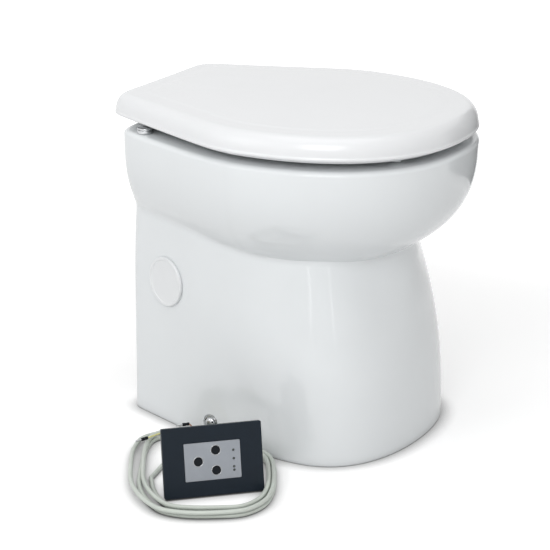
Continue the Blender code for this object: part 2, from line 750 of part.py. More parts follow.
# Seat, lid and their hinge
HINGE_BEHIND_AXIS = 0.200
HINGE_RISE = 0.025
HINGE_HEIGHT = RIM_HEIGHT + HINGE_RISE
HINGE_ROD_RADIUS = 0.0025
HINGE_ROD_LENGTH = 0.172
BARREL_RADIUS = 0.0055
BASE_BARREL_X = 0.078
BASE_BARREL_LENGTH = 0.012
SEAT_BARREL_X = 0.0635
SEAT_BARREL_LENGTH = 0.013
LID_BARREL_X = 0.049
LID_BARREL_LENGTH = 0.013
BASE_DISC_RADIUS = 0.0115
BASE_DISC_HEIGHT = 0.0055
NUT_RADIUS = 0.0095
NUT_HEIGHT = 0.010
SEAT_LIFT = 0.015
SEAT_BOTTOM = RIM_HEIGHT + SEAT_LIFT
SEAT_THICKNESS = 0.0155
SEAT_INSET = 0.0095
SEAT_OVAL_SHARE = 2.2
SEAT_OPENING_HALF_WIDTH = 0.106
SEAT_OPENING_FRONT = 0.146
SEAT_OPENING_BACK = 0.086
SEAT_BACK = 0.184
SEAT_ROUND = 0.006
LID_HALF_WIDTH = 0.1850
LID_FRONT = 0.2205
LID_FLANK_OFFSET = 0.1905
LID_FLANK_SLOPE_SHARE = 0.43
LID_BACK = 0.2190
LID_LIP_RISE = 0.0195
LID_LIP_WIDTH = 0.0060
LID_REST_HEIGHT = 0.0035
LID_THICKNESS = 0.0125
LID_CROWN_RISE = 0.0060
LID_NOTCH_CLEARANCE = 0.0040
LID_NOTCH_RISE = 0.0015
LID_LIP_BOTTOM = RIM_HEIGHT + LID_LIP_RISE
LID_UNDERSIDE = SEAT_BOTTOM + SEAT_THICKNESS + LID_REST_HEIGHT
LID_EDGE_TOP = LID_UNDERSIDE + LID_THICKNESS
LID_CROWN = LID_EDGE_TOP + LID_CROWN_RISE
LID_EDGE_ROUND = 0.011
HINGE_Y = BOWL_AXIS_Y + HINGE_BEHIND_AXIS
ARM_REACH = 0.024
ARM_THICKNESS = 0.005
LUG_PAD_THICKNESS = 0.0026
SEAT_PAD_LENGTH = 0.024
LID_PAD_FRONT = 0.0130
LID_PAD_REAR = 0.0075
SIDE_ON = (math.pi / 2, 0, math.pi / 2)


def lid_reach():
    """The lid's outline: an oval front, straight flanks that draw in, and a flat back."""
    return rounded_meet(
        oval(LID_HALF_WIDTH, LID_FRONT, OUTER_OVAL_BACK, BOWL_OVAL_SHARE),
        flank(LID_FLANK_OFFSET, LID_FLANK_SLOPE_SHARE),
        LID_BACK / np.clip(REARWARD, LEAST_SHARE, None),
    )


def seat_ring():
    """The seat: a ring whose outline follows the lid's, with a crowned top and a flat underside."""
    back = SEAT_BACK / np.clip(REARWARD, LEAST_SHARE, None)
    outer = rounded_meet(lid_reach() - SEAT_INSET, back)
    inner = oval(SEAT_OPENING_HALF_WIDTH, SEAT_OPENING_FRONT, SEAT_OPENING_BACK, SEAT_OVAL_SHARE)
    top = SEAT_BOTTOM + SEAT_THICKNESS
    shoulder = top - SEAT_ROUND
    rings = [
        ring(outer - SEAT_ROUND / 2, SEAT_BOTTOM),
        ring(outer, SEAT_BOTTOM + SEAT_ROUND / 2),
        ring(outer, shoulder),
        ring(outer - SEAT_ROUND * 0.3, top - SEAT_ROUND * 0.3),
        ring(outer - SEAT_ROUND, top),
        ring(inner + SEAT_ROUND * 2, top - SEAT_ROUND * 0.1),
        ring(inner + SEAT_ROUND * 0.5, top - SEAT_ROUND * 0.7),
        ring(inner, shoulder - SEAT_ROUND / 2),
        ring(inner, SEAT_BOTTOM),
    ]
    return loft("seat_ring", np.array(rings), SEAT_WHITE)


def lid():
    """The lid: a crowned plate whose lip wraps down over the seat, with a notch for each hinge base."""
    outer = lid_reach()
    lip = LID_LIP_WIDTH
    crown_drop = LID_CROWN - LID_EDGE_TOP
    rings = [ring(outer - lip * 0.5, LID_LIP_BOTTOM)]
    rings.append(ring(outer - lip * 0.12, LID_LIP_BOTTOM + lip * 0.35))
    rings.append(ring(outer, LID_LIP_BOTTOM + lip * 1.1))
    rings.append(ring(outer, LID_EDGE_TOP - LID_EDGE_ROUND))
    rings.append(ring(outer - LID_EDGE_ROUND * 0.25, LID_EDGE_TOP - LID_EDGE_ROUND * 0.40))
    rings.append(ring(outer - LID_EDGE_ROUND, LID_EDGE_TOP))
    for share in (0.7, 0.35):
        height = LID_CROWN - crown_drop * share**2
        rings.append(ring((outer - LID_EDGE_ROUND) * share, height))
    top = np.array(rings)
    under = [ring(outer - lip - LID_EDGE_ROUND / 4, LID_UNDERSIDE)]
    under.append(ring(outer - lip, LID_UNDERSIDE - LID_EDGE_ROUND / 4))
    under.append(ring(outer - lip, LID_LIP_BOTTOM))
    rings = np.concatenate([np.array(under), top])
    cover = loft("lid", rings, SEAT_WHITE, wrap=False, caps=True)
    low = SEAT_BOTTOM + SEAT_THICKNESS + GAP
    high = LID_UNDERSIDE + GAP * 3
    for word, x, y in BUFFER_PLACES:
        middle = (x, y, (low + high) / 2)
        join(cover, rod(f"lid_rest_{word}", LID_REST_RADIUS, high - low, middle, sides=SMALL_SIDES))
    back = BOWL_AXIS_Y + LID_BACK
    reach = LID_LIP_WIDTH * 2.5
    bottom = LID_LIP_BOTTOM - OVERRUN
    top = LID_UNDERSIDE + LID_NOTCH_RISE
    size = (BASE_BARREL_LENGTH + LID_NOTCH_CLEARANCE * 2, reach + OVERRUN, top - bottom)
    for side, word in ((-1, "left"), (1, "right")):
        centre = (side * BASE_BARREL_X, back + (OVERRUN - reach) / 2, (top + bottom) / 2)
        cut(cover, box(f"hinge_notch_cutter_{word}", size, centre))


def barrel_arc(start, end):
    """The round end of a hinge lug, about the hinge rod, as seen from the side."""
    return arc((HINGE_Y, HINGE_HEIGHT), BARREL_RADIUS, start, end, 11)


def hinge_bore(name, x):
    """The cutter for the rod's hole through a lug."""
    place = (x, HINGE_Y, HINGE_HEIGHT)
    radius = HINGE_ROD_RADIUS + GAP
    return rod(f"{name}_bore", radius, BASE_BARREL_LENGTH * 2, place, turn=TURN_TO_X, sides=SMALL_SIDES)


def hinge_bases():
    """On each side a chrome disc, a cranked arm up to a barrel, and a stud with its nut below."""
    disc_bottom = RIM_HEIGHT + GAP
    disc_top = disc_bottom + BASE_DISC_HEIGHT
    arm_bottom = disc_top - BASE_DISC_HEIGHT * 0.9
    nut_top = RIM_HEIGHT - RIM_THICKNESS - GAP
    for side, word in ((-1, "left"), (1, "right")):
        disc = turned(
            f"hinge_base_{word}",
            [
                (0, disc_top),
                (BASE_DISC_RADIUS * 0.82, disc_top),
                (BASE_DISC_RADIUS, disc_top - BASE_DISC_HEIGHT * 0.25),
                (BASE_DISC_RADIUS, disc_bottom),
                (STUD_RADIUS, disc_bottom),
                (STUD_RADIUS, nut_top),
                (NUT_RADIUS, nut_top),
                (NUT_RADIUS, nut_top - NUT_HEIGHT * 0.3),
                (NUT_RADIUS * 0.7, nut_top - NUT_HEIGHT),
                (STUD_RADIUS, nut_top - NUT_HEIGHT),
                (STUD_RADIUS, nut_top - NUT_HEIGHT * 1.6),
                (0, nut_top - NUT_HEIGHT * 1.6),
            ],
            (side * STUD_X, STUD_Y, 0),
            CHROME,
            sides=ROUND_SIDES,
        )
        outline = [(STUD_Y, arm_bottom), (STUD_Y + ARM_REACH, arm_bottom)]
        outline += barrel_arc(300, 490)
        outline += [(STUD_Y + ARM_REACH - ARM_THICKNESS / 2, arm_bottom + ARM_THICKNESS)]
        outline += [(STUD_Y, arm_bottom + ARM_THICKNESS)]
        name = f"hinge_arm_{word}"
        join(disc, plate(name, outline, BASE_BARREL_LENGTH, (side * BASE_BARREL_X, 0, 0), turn=SIDE_ON))
        cut(disc, hinge_bore(name, side * BASE_BARREL_X))
    rod("hinge_rod", HINGE_ROD_RADIUS, HINGE_ROD_LENGTH, (0, HINGE_Y, HINGE_HEIGHT), STEEL, TURN_TO_X, 12)


def hinge_lug(name, x, length, outline):
    """A lug of a given side outline, which ends in a barrel, and its bore for the rod."""
    cut(plate(name, outline, length, (x, 0, 0), CHROME, SIDE_ON), hinge_bore(name, x))


def hinge_lugs():
    """Two lugs screwed under the seat and two under the lid, all on the hinge rod."""
    seat_under = SEAT_BOTTOM - GAP
    seat_low = seat_under - LUG_PAD_THICKNESS
    seat_rear = BOWL_AXIS_Y + SEAT_BACK
    edge = SEAT_ROUND / 2
    lid_under = LID_UNDERSIDE - GAP
    lid_low = lid_under - LUG_PAD_THICKNESS
    for side, word in ((-1, "left"), (1, "right")):
        outline = [
            (seat_rear - SEAT_PAD_LENGTH, seat_under),
            (seat_rear - SEAT_PAD_LENGTH, seat_low),
            (seat_rear + edge, seat_low),
        ]
        outline += barrel_arc(290, 500)
        outline += [
            (seat_rear + edge * 1.2, seat_under + edge * 2),
            (seat_rear + GAP * 2, seat_under + edge),
            (seat_rear - edge, seat_under),
        ]
        hinge_lug(f"seat_hinge_{word}", side * SEAT_BARREL_X, SEAT_BARREL_LENGTH, outline)
        outline = [(HINGE_Y - LID_PAD_FRONT, lid_under), (HINGE_Y - LID_PAD_FRONT, lid_low)]
        outline.append((HINGE_Y - BARREL_RADIUS * 0.8, lid_low - GAP))
        outline += barrel_arc(125, 415)
        outline += [(HINGE_Y + LID_PAD_REAR, lid_low), (HINGE_Y + LID_PAD_REAR, lid_under)]
        hinge_lug(f"lid_hinge_{word}", side * LID_BARREL_X, LID_BARREL_LENGTH, outline)


BUFFER_RADIUS = 0.0075
BUFFER_HEIGHT = SEAT_BOTTOM - RIM_HEIGHT - GAP * 2
LID_REST_RADIUS = 0.0065
FRONT_BUFFER_X = 0.074
FRONT_BUFFER_AHEAD = 0.172
REAR_BUFFER_X = 0.118
REAR_BUFFER_BEHIND = 0.066
BUFFER_PLACES = (
    ("front_left", -FRONT_BUFFER_X, BOWL_AXIS_Y - FRONT_BUFFER_AHEAD),
    ("front_right", FRONT_BUFFER_X, BOWL_AXIS_Y - FRONT_BUFFER_AHEAD),
    ("rear_left", -REAR_BUFFER_X, BOWL_AXIS_Y + REAR_BUFFER_BEHIND),
    ("rear_right", REAR_BUFFER_X, BOWL_AXIS_Y + REAR_BUFFER_BEHIND),
)


def seat_buffers():
    """Four soft feet under the seat, which rest on the ceramic's rim."""
    bottom = RIM_HEIGHT + GAP
    for word, x, y in BUFFER_PLACES:
        turned(
            f"seat_buffer_{word}",
            [
                (0, bottom + BUFFER_HEIGHT),
                (BUFFER_RADIUS, bottom + BUFFER_HEIGHT),
                (BUFFER_RADIUS, bottom + BUFFER_HEIGHT * 0.6),
                (BUFFER_RADIUS * 0.8, bottom + BUFFER_HEIGHT * 0.5),
                (BUFFER_RADIUS * 0.8, bottom + BUFFER_HEIGHT * 0.1),
                (BUFFER_RADIUS * 0.7, bottom),
                (0, bottom),
            ],
            (x, y, 0),
            BUFFER_PLASTIC,
            sides=SMALL_SIDES,
        )


# Macerator pump, on a level axis along Y, below the basin's outlet
INLET_Y = BOWL_AXIS_Y + THROAT_BEHIND_AXIS
HOUSING_WALL = 0.004
HOUSING_AHEAD = 0.043
HOUSING_BEHIND = 0.035
HOUSING_FRONT = INLET_Y - HOUSING_AHEAD
HOUSING_REAR = INLET_Y + HOUSING_BEHIND
INLET_WALL = 0.0055
PUMP_COVER_THICKNESS = 0.007
PUMP_COVER_BOSS = 0.014
BOOT_WALL = 0.0038
BOOT_FIT = 0.0009
BOOT_LIFT = 0.014
BOOT_GRIP = 0.022
BOOT_BOTTOM = PUMP_Z + HOUSING_RADIUS + BOOT_LIFT
BOOT_TOP = SPIGOT_END + BOOT_GRIP
CLAMP_THICKNESS = 0.0012
CLAMP_WIDTH = 0.009
CLAMP_EDGE = 0.006
CLAMP_BLOCK = 0.010
MOTOR_RADIUS = 0.038
MOTOR_WALL = 0.003
MOTOR_LENGTH = 0.098
SHAFT_RADIUS = 0.004
SEAL_RADIUS = 0.010
OUTLET_AHEAD = 0.022
OUTLET_Y = INLET_Y - OUTLET_AHEAD
OUTLET_RADIUS = 0.0165
OUTLET_WALL = 0.0025
OUTLET_X = 0.050


def pump_housing():
    """The pump's cast body: a drum with a tower for the bowl's waste and a port for the discharge."""
    length = HOUSING_REAR - HOUSING_FRONT
    middle = (0, (HOUSING_REAR + HOUSING_FRONT) / 2, PUMP_Z)
    body = rod("pump_housing", HOUSING_RADIUS, length, middle, PUMP_PLASTIC, TURN_TO_Y, FINE_SIDES)
    tower_height = INLET_TOP - PUMP_Z
    tower_middle = (0, INLET_Y, PUMP_Z + tower_height / 2)
    tower = rod("inlet_tower", SPIGOT_RADIUS, tower_height, tower_middle, sides=ROUND_SIDES)
    port_middle = (OUTLET_X / 2, OUTLET_Y, PUMP_Z)
    port = rod("outlet_port", OUTLET_RADIUS, OUTLET_X, port_middle, turn=TURN_TO_X)
    chamber = rod(
        "chamber_cutter",
        HOUSING_RADIUS - HOUSING_WALL,
        length - HOUSING_WALL + OVERRUN,
        (0, HOUSING_FRONT + HOUSING_WALL + (length - HOUSING_WALL + OVERRUN) / 2, PUMP_Z),
        turn=TURN_TO_Y,
        sides=FINE_SIDES,
    )
    inlet_bore = rod(
        "inlet_cutter",
        SPIGOT_RADIUS - INLET_WALL,
        tower_height + OVERRUN,
        (0, INLET_Y, PUMP_Z + (tower_height + OVERRUN) / 2),
        sides=ROUND_SIDES,
    )
    outlet_bore = rod(
        "outlet_cutter",
        OUTLET_RADIUS - OUTLET_WALL,
        OUTLET_X + OVERRUN,
        ((OUTLET_X + OVERRUN) / 2, OUTLET_Y, PUMP_Z),
        turn=TURN_TO_X,
    )
    seal = SEAL_RADIUS + RUNNING_GAP
    seal_hole = rod("seal_cutter", seal, length * 2, middle, turn=TURN_TO_Y, sides=ROUND_SIDES)
    join(body, tower, port)
    cut(body, chamber, inlet_bore, outlet_bore, seal_hole)


def pump_cover():
    """The rear cover of the drum, with a centre boss and six screw bosses."""
    start = HOUSING_REAR + GAP
    body = turned(
        "pump_cover",
        [
            (0, PUMP_COVER_THICKNESS + HOUSING_WALL),
            (PUMP_COVER_BOSS * 0.8, PUMP_COVER_THICKNESS + HOUSING_WALL),
            (PUMP_COVER_BOSS, PUMP_COVER_THICKNESS),
            (HOUSING_RADIUS - HOUSING_WALL / 2, PUMP_COVER_THICKNESS),
            (HOUSING_RADIUS, PUMP_COVER_THICKNESS - HOUSING_WALL / 2),
            (HOUSING_RADIUS, 0),
            (0, 0),
        ],
        (0, start, PUMP_Z),
        PUMP_PLASTIC,
        TURN_TO_Y,
        FINE_SIDES,
    )
    for index in range(6):
        angle = math.radians(60 * index + 30)
        reach = HOUSING_RADIUS - HOUSING_WALL
        x = reach * math.cos(angle)
        z = PUMP_Z + reach * math.sin(angle)
        place = (x, start + PUMP_COVER_THICKNESS, z)
        head = HOUSING_WALL * 0.8
        join(body, rod(f"cover_screw_{index}", head, HOUSING_WALL, place, turn=TURN_TO_Y, sides=6))


def boot_and_clamps():
    """The rubber boot between the bowl's spigot and the pump's tower, with a band clamp at each end."""
    inner = SPIGOT_RADIUS + BOOT_FIT
    outer = inner + BOOT_WALL
    place = (0, INLET_Y, 0)
    middle = (BOOT_BOTTOM + BOOT_TOP) / 2
    bulge = CLAMP_THICKNESS * 1.5
    turned(
        "bowl_boot",
        [
            (inner, BOOT_TOP),
            (outer, BOOT_TOP),
            (outer, middle + CLAMP_WIDTH),
            (outer + bulge, middle),
            (outer, middle - CLAMP_WIDTH),
            (outer, BOOT_BOTTOM),
            (inner, BOOT_BOTTOM),
        ],
        place,
        RUBBER,
        closed=True,
    )
    low = outer + GAP
    high = low + CLAMP_THICKNESS
    lower = BOOT_BOTTOM + CLAMP_EDGE
    upper = BOOT_TOP - CLAMP_EDGE - CLAMP_WIDTH
    for word, bottom in (("lower", lower), ("upper", upper)):
        top = bottom + CLAMP_WIDTH
        profile = [(low, top), (high, top), (high, bottom), (low, bottom)]
        band = turned(f"boot_clamp_{word}", profile, place, STEEL, closed=True)
        size = (CLAMP_BLOCK * 1.4, CLAMP_BLOCK * 0.8, CLAMP_WIDTH * 0.9)
        block_y = INLET_Y + low + CLAMP_BLOCK * 0.4 + CLAMP_THICKNESS / 2
        join(band, box(f"clamp_screw_{word}", size, (0, block_y, (top + bottom) / 2)))


# Rotor and motor
CUTTER_REACH = 0.030
CUTTER_WIDTH = 0.011
CUTTER_THICKNESS = 0.004
CUTTER_BEHIND = 0.003
CUTTER_Y = INLET_Y + CUTTER_BEHIND
IMPELLER_RADIUS = 0.034
IMPELLER_HUB = 0.010
IMPELLER_DEPTH = 0.014
IMPELLER_AHEAD = 0.030
IMPELLER_Y = INLET_Y - IMPELLER_AHEAD
VANE_THICKNESS = 0.004
VANES = 5
ARMATURE_SLOTS = 6
MOTOR_REAR = HOUSING_FRONT - GAP
ARMATURE_RADIUS = 0.0225
ARMATURE_LENGTH = 0.042
MAGNET_THICKNESS = 0.006
MAGNET_LENGTH = 0.050
BUSH_RADIUS = 0.009
BUSH_LENGTH = 0.010
COMMUTATOR_RADIUS = 0.0105
COMMUTATOR_LENGTH = 0.013
BRUSH_SIZE = 0.006
BRUSH_RING = 0.020
END_CAP_THICKNESS = 0.008
MOTOR_FRONT = MOTOR_REAR - MOTOR_LENGTH
ARMATURE_INSET = 0.036
COMMUTATOR_INSET = 0.023
ARMATURE_Y = MOTOR_REAR - ARMATURE_INSET
COMMUTATOR_Y = MOTOR_FRONT + COMMUTATOR_INSET


def rotor():
    """The turning pieces: shaft, impeller with curved vanes, two-armed cutter and armature."""
    shaft_start = MOTOR_FRONT - END_CAP_THICKNESS + HOUSING_WALL
    shaft_end = CUTTER_Y + CUTTER_THICKNESS
    shaft_length = shaft_end - shaft_start
    shaft_middle = (shaft_end + shaft_start) / 2
    rod("rotor_shaft", SHAFT_RADIUS, shaft_length, (0, shaft_middle, PUMP_Z), STEEL, TURN_TO_Y, 16)
    bore = SHAFT_RADIUS + GAP
    hub = turned(
        "impeller",
        [
            (bore, IMPELLER_DEPTH / 2),
            (IMPELLER_HUB, IMPELLER_DEPTH / 2),
            (IMPELLER_HUB, -IMPELLER_DEPTH / 2 + VANE_THICKNESS),
            (IMPELLER_RADIUS, -IMPELLER_DEPTH / 2 + VANE_THICKNESS / 2),
            (IMPELLER_RADIUS, -IMPELLER_DEPTH / 2),
            (bore, -IMPELLER_DEPTH / 2),
        ],
        (0, IMPELLER_Y, PUMP_Z),
        PUMP_PLASTIC,
        TURN_TO_Y,
        FINE_SIDES,
        closed=True,
    )
    root = IMPELLER_HUB - GAP * 3
    tip = IMPELLER_RADIUS - GAP
    vane_height = IMPELLER_DEPTH - VANE_THICKNESS
    for index in range(VANES):
        start = 2 * math.pi * index / VANES
        edge = []
        for share in (0, 0.35, 0.7, 1):
            reach = root + (tip - root) * share
            angle = start + 0.7 * share
            edge.append((reach, angle, VANE_THICKNESS / 2 / reach))
        outline = [(r * math.cos(a - w), r * math.sin(a - w)) for r, a, w in edge]
        outline += [(r * math.cos(a + w), r * math.sin(a + w)) for r, a, w in reversed(edge)]
        place = (0, IMPELLER_Y + VANE_THICKNESS / 4, PUMP_Z)
        join(hub, plate(f"vane_{index}", outline, vane_height + VANE_THICKNESS, place, turn=TURN_TO_Y))
    blade = plate(
        "cutter_blade",
        [
            (-CUTTER_REACH, -CUTTER_WIDTH * 0.2),
            (-SHAFT_RADIUS * 2, -CUTTER_WIDTH / 2),
            (SHAFT_RADIUS * 2, -CUTTER_WIDTH / 2),
            (CUTTER_REACH, -CUTTER_WIDTH * 0.4),
            (CUTTER_REACH, CUTTER_WIDTH * 0.2),
            (SHAFT_RADIUS * 2, CUTTER_WIDTH / 2),
            (-SHAFT_RADIUS * 2, CUTTER_WIDTH / 2),
            (-CUTTER_REACH, CUTTER_WIDTH * 0.4),
        ],
        CUTTER_THICKNESS,
        (0, CUTTER_Y, PUMP_Z),
        STEEL,
        TURN_TO_Y,
    )
    centre = (0, CUTTER_Y, PUMP_Z)
    cut(blade, rod("cutter_bore", bore, CUTTER_THICKNESS * 3, centre, turn=TURN_TO_Y, sides=ROUND_SIDES))
    end = ARMATURE_LENGTH / 2
    commutator_far = ARMATURE_Y - COMMUTATOR_Y + COMMUTATOR_LENGTH / 2
    armature = turned(
        "motor_armature",
        [
            (bore, end),
            (ARMATURE_RADIUS * 0.5, end),
            (ARMATURE_RADIUS * 0.8, end - HOUSING_WALL / 2),
            (ARMATURE_RADIUS * 0.8, end - HOUSING_WALL * 1.5),
            (ARMATURE_RADIUS, end - HOUSING_WALL * 1.5),
            (ARMATURE_RADIUS, -end + HOUSING_WALL * 1.5),
            (ARMATURE_RADIUS * 0.8, -end + HOUSING_WALL * 1.5),
            (ARMATURE_RADIUS * 0.8, -end + HOUSING_WALL / 2),
            (COMMUTATOR_RADIUS, -end),
            (COMMUTATOR_RADIUS, -commutator_far),
            (bore, -commutator_far),
        ],
        (0, ARMATURE_Y, PUMP_Z),
        LAMINATION,
        TURN_TO_Y,
        closed=True,
    )
    for index in range(ARMATURE_SLOTS):
        angle = 2 * math.pi * index / ARMATURE_SLOTS
        reach = ARMATURE_RADIUS + MOTOR_WALL * 0.2
        place = (reach * math.cos(angle), ARMATURE_Y, PUMP_Z + reach * math.sin(angle))
        slot = (MOTOR_WALL, ARMATURE_LENGTH - HOUSING_WALL * 2, MOTOR_WALL)
        cut(armature, box(f"armature_slot_{index}", slot, place, turn=(0, -angle, 0)))


def motor():
    """The motor's can and end cap, each with a bush for the shaft, the ring magnet and the brushes."""
    inner = MOTOR_RADIUS - MOTOR_WALL
    bush = SHAFT_RADIUS + GAP
    turned(
        "motor_can",
        [
            (bush, 0),
            (MOTOR_RADIUS, 0),
            (MOTOR_RADIUS, -MOTOR_LENGTH),
            (inner, -MOTOR_LENGTH),
            (inner, -MOTOR_WALL),
            (BUSH_RADIUS, -MOTOR_WALL),
            (BUSH_RADIUS, -BUSH_LENGTH),
            (bush, -BUSH_LENGTH),
        ],
        (0, MOTOR_REAR, PUMP_Z),
        MOTOR_PAINT,
        TURN_TO_Y,
        FINE_SIDES,
        closed=True,
    )
    turned(
        "motor_end_cap",
        [
            (0, -END_CAP_THICKNESS + MOTOR_WALL),
            (bush, -END_CAP_THICKNESS + MOTOR_WALL),
            (bush, BUSH_LENGTH - END_CAP_THICKNESS),
            (BUSH_RADIUS, BUSH_LENGTH - END_CAP_THICKNESS),
            (BUSH_RADIUS, MOTOR_WALL),
            (inner - GAP, MOTOR_WALL),
            (inner - GAP, -GAP),
            (MOTOR_RADIUS, -GAP),
            (MOTOR_RADIUS, -END_CAP_THICKNESS * 0.7),
            (MOTOR_RADIUS - MOTOR_WALL, -END_CAP_THICKNESS),
            (0, -END_CAP_THICKNESS),
        ],
        (0, MOTOR_FRONT, PUMP_Z),
        MOTOR_PAINT,
        TURN_TO_Y,
        FINE_SIDES,
    )
    outer = inner - GAP
    half = MAGNET_LENGTH / 2
    near = outer - MAGNET_THICKNESS
    profile = [(near, half), (outer, half), (outer, -half), (near, -half)]
    turned("motor_magnet", profile, (0, ARMATURE_Y, PUMP_Z), MAGNET, TURN_TO_Y, FINE_SIDES, closed=True)
    half = MOTOR_WALL / 2
    profile = [(BRUSH_RING, half), (outer, half), (outer, -half), (BRUSH_RING, -half)]
    place = (0, COMMUTATOR_Y, PUMP_Z)
    holder = turned("brush_plate", profile, place, COPPER, TURN_TO_Y, FINE_SIDES, closed=True)
    for word, side in (("left", -1), ("right", 1)):
        near = COMMUTATOR_RADIUS + GAP
        far = BRUSH_RING + BRUSH_SIZE
        middle = (side * (near + far) / 2, COMMUTATOR_Y, PUMP_Z)
        join(holder, box(f"brush_{word}", (far - near, BRUSH_SIZE, BRUSH_SIZE), middle))
    seal = [
        (bush, HOUSING_WALL * 0.9),
        (SEAL_RADIUS, HOUSING_WALL * 0.9),
        (SEAL_RADIUS, GAP),
        (bush, GAP),
    ]
    turned("shaft_seal", seal, (0, HOUSING_FRONT, PUMP_Z), RUBBER, TURN_TO_Y, closed=True)


# The pump's bracket, which also carries the water valve and the control box
FOOT_THICKNESS = 0.008
BASE_THICKNESS = 0.002
BASE_HALF_WIDTH = 0.050
BASE_AHEAD = 0.139
BASE_BEHIND = 0.097
BASE_FRONT = INLET_Y - BASE_AHEAD
BASE_REAR = INLET_Y + BASE_BEHIND
SADDLE_HALF_WIDTH = 0.044
SADDLE_AHEAD = 0.097
SADDLE_Y = INLET_Y - SADDLE_AHEAD
STRAP_WIDTH = 0.016
STRAP_THICKNESS = 0.0015
STRAP_EAR = 0.0085
UPRIGHT_X = -0.052
UPRIGHT_TOP = 0.142
UPRIGHT_AHEAD = 0.063
UPRIGHT_FRONT = INLET_Y - UPRIGHT_AHEAD
UPRIGHT_REAR = BASE_REAR
BASE_BOTTOM = FOOT_THICKNESS + GAP


def saddle_outline():
    """A plate that reaches up to the motor's axis, with a half-round seat cut into its top."""
    seat = MOTOR_RADIUS + RUNNING_GAP
    outline = [(-SADDLE_HALF_WIDTH - STRAP_EAR, 0), (SADDLE_HALF_WIDTH + STRAP_EAR, 0)]
    outline.append((SADDLE_HALF_WIDTH + STRAP_EAR, PUMP_Z - BASE_BOTTOM))
    outline += [(x, PUMP_Z - BASE_BOTTOM + z) for x, z in arc((0, 0), seat, 0, -180, 13)]
    outline.append((-SADDLE_HALF_WIDTH - STRAP_EAR, PUMP_Z - BASE_BOTTOM))
    return outline


def pump_bracket():
    """A folded steel base with two saddles for the motor and an upright plate on its left."""
    length = BASE_REAR - BASE_FRONT
    middle = (BASE_REAR + BASE_FRONT) / 2
    base = box(
        "pump_bracket",
        (BASE_HALF_WIDTH * 2 + STRAP_EAR, length, BASE_THICKNESS),
        (0, middle, BASE_BOTTOM + BASE_THICKNESS / 2),
        STEEL,
    )
    place = (0, SADDLE_Y, BASE_BOTTOM)
    join(base, plate("saddle", saddle_outline(), STRAP_WIDTH, place, turn=(math.pi / 2, 0, 0)))
    height = UPRIGHT_TOP - BASE_BOTTOM
    upright = box(
        "upright",
        (BASE_THICKNESS, UPRIGHT_REAR - UPRIGHT_FRONT, height),
        (UPRIGHT_X, (UPRIGHT_REAR + UPRIGHT_FRONT) / 2, BASE_BOTTOM + height / 2),
    )
    join(base, upright)
    mat = (BASE_HALF_WIDTH * 2 - BASE_THICKNESS, length - BASE_THICKNESS, FOOT_THICKNESS)
    soften(box("rubber_mat", mat, (0, middle, FOOT_THICKNESS / 2), RUBBER), BASE_THICKNESS / 2, 1)
    inner = MOTOR_RADIUS + GAP * 2
    outer = inner + STRAP_THICKNESS
    ear = SADDLE_HALF_WIDTH + STRAP_EAR
    rise = STRAP_THICKNESS + GAP
    outline = [(ear, GAP), (ear, rise), (outer, rise)]
    outline += arc((0, 0), outer, 4, 176, 13)
    outline += [(-outer, rise), (-ear, rise), (-ear, GAP), (-inner, GAP)]
    outline += arc((0, 0), inner, 176, 4, 13)
    outline.append((inner, GAP))
    plate("motor_strap", outline, STRAP_WIDTH, (0, SADDLE_Y, PUMP_Z), STEEL, (math.pi / 2, 0, 0))


# Discharge, from the pump's port to the rear window
PIPE_WALL = 0.0025
PIPE_BEND = 0.020
PIPE_LEAD = 0.003
PIPE_STRAIGHT = 0.025
PIPE_SWING_START = 0.045
PIPE_SWING_END = 0.083
PIPE_LENGTH = 0.098
PIPE_STRAIGHT_END = INLET_Y + PIPE_STRAIGHT
PIPE_INWARD_START = INLET_Y + PIPE_SWING_START
PIPE_INWARD_END = INLET_Y + PIPE_SWING_END
PIPE_END = INLET_Y + PIPE_LENGTH
PIPE_INWARD = 0.028
SPIGOT_TAIL_RADIUS = 0.0175
SPIGOT_TAIL_BORE = 0.0135
SPIGOT_TAIL_BEHIND = 0.149
SPIGOT_TAIL_END = INLET_Y + SPIGOT_TAIL_BEHIND
SPIGOT_BARB = 0.0010
VALVE_RADIUS = 0.0205
VALVE_FLANGE = 0.0245
VALVE_LENGTH = 0.024
PIPE_SIDE_X = OUTLET_X + GAP + PIPE_LEAD + PIPE_BEND
DISCHARGE_X = PIPE_SIDE_X - PIPE_INWARD
VALVE_START = PIPE_END + GAP
BARB_SHARES = (0.84, 0.68)


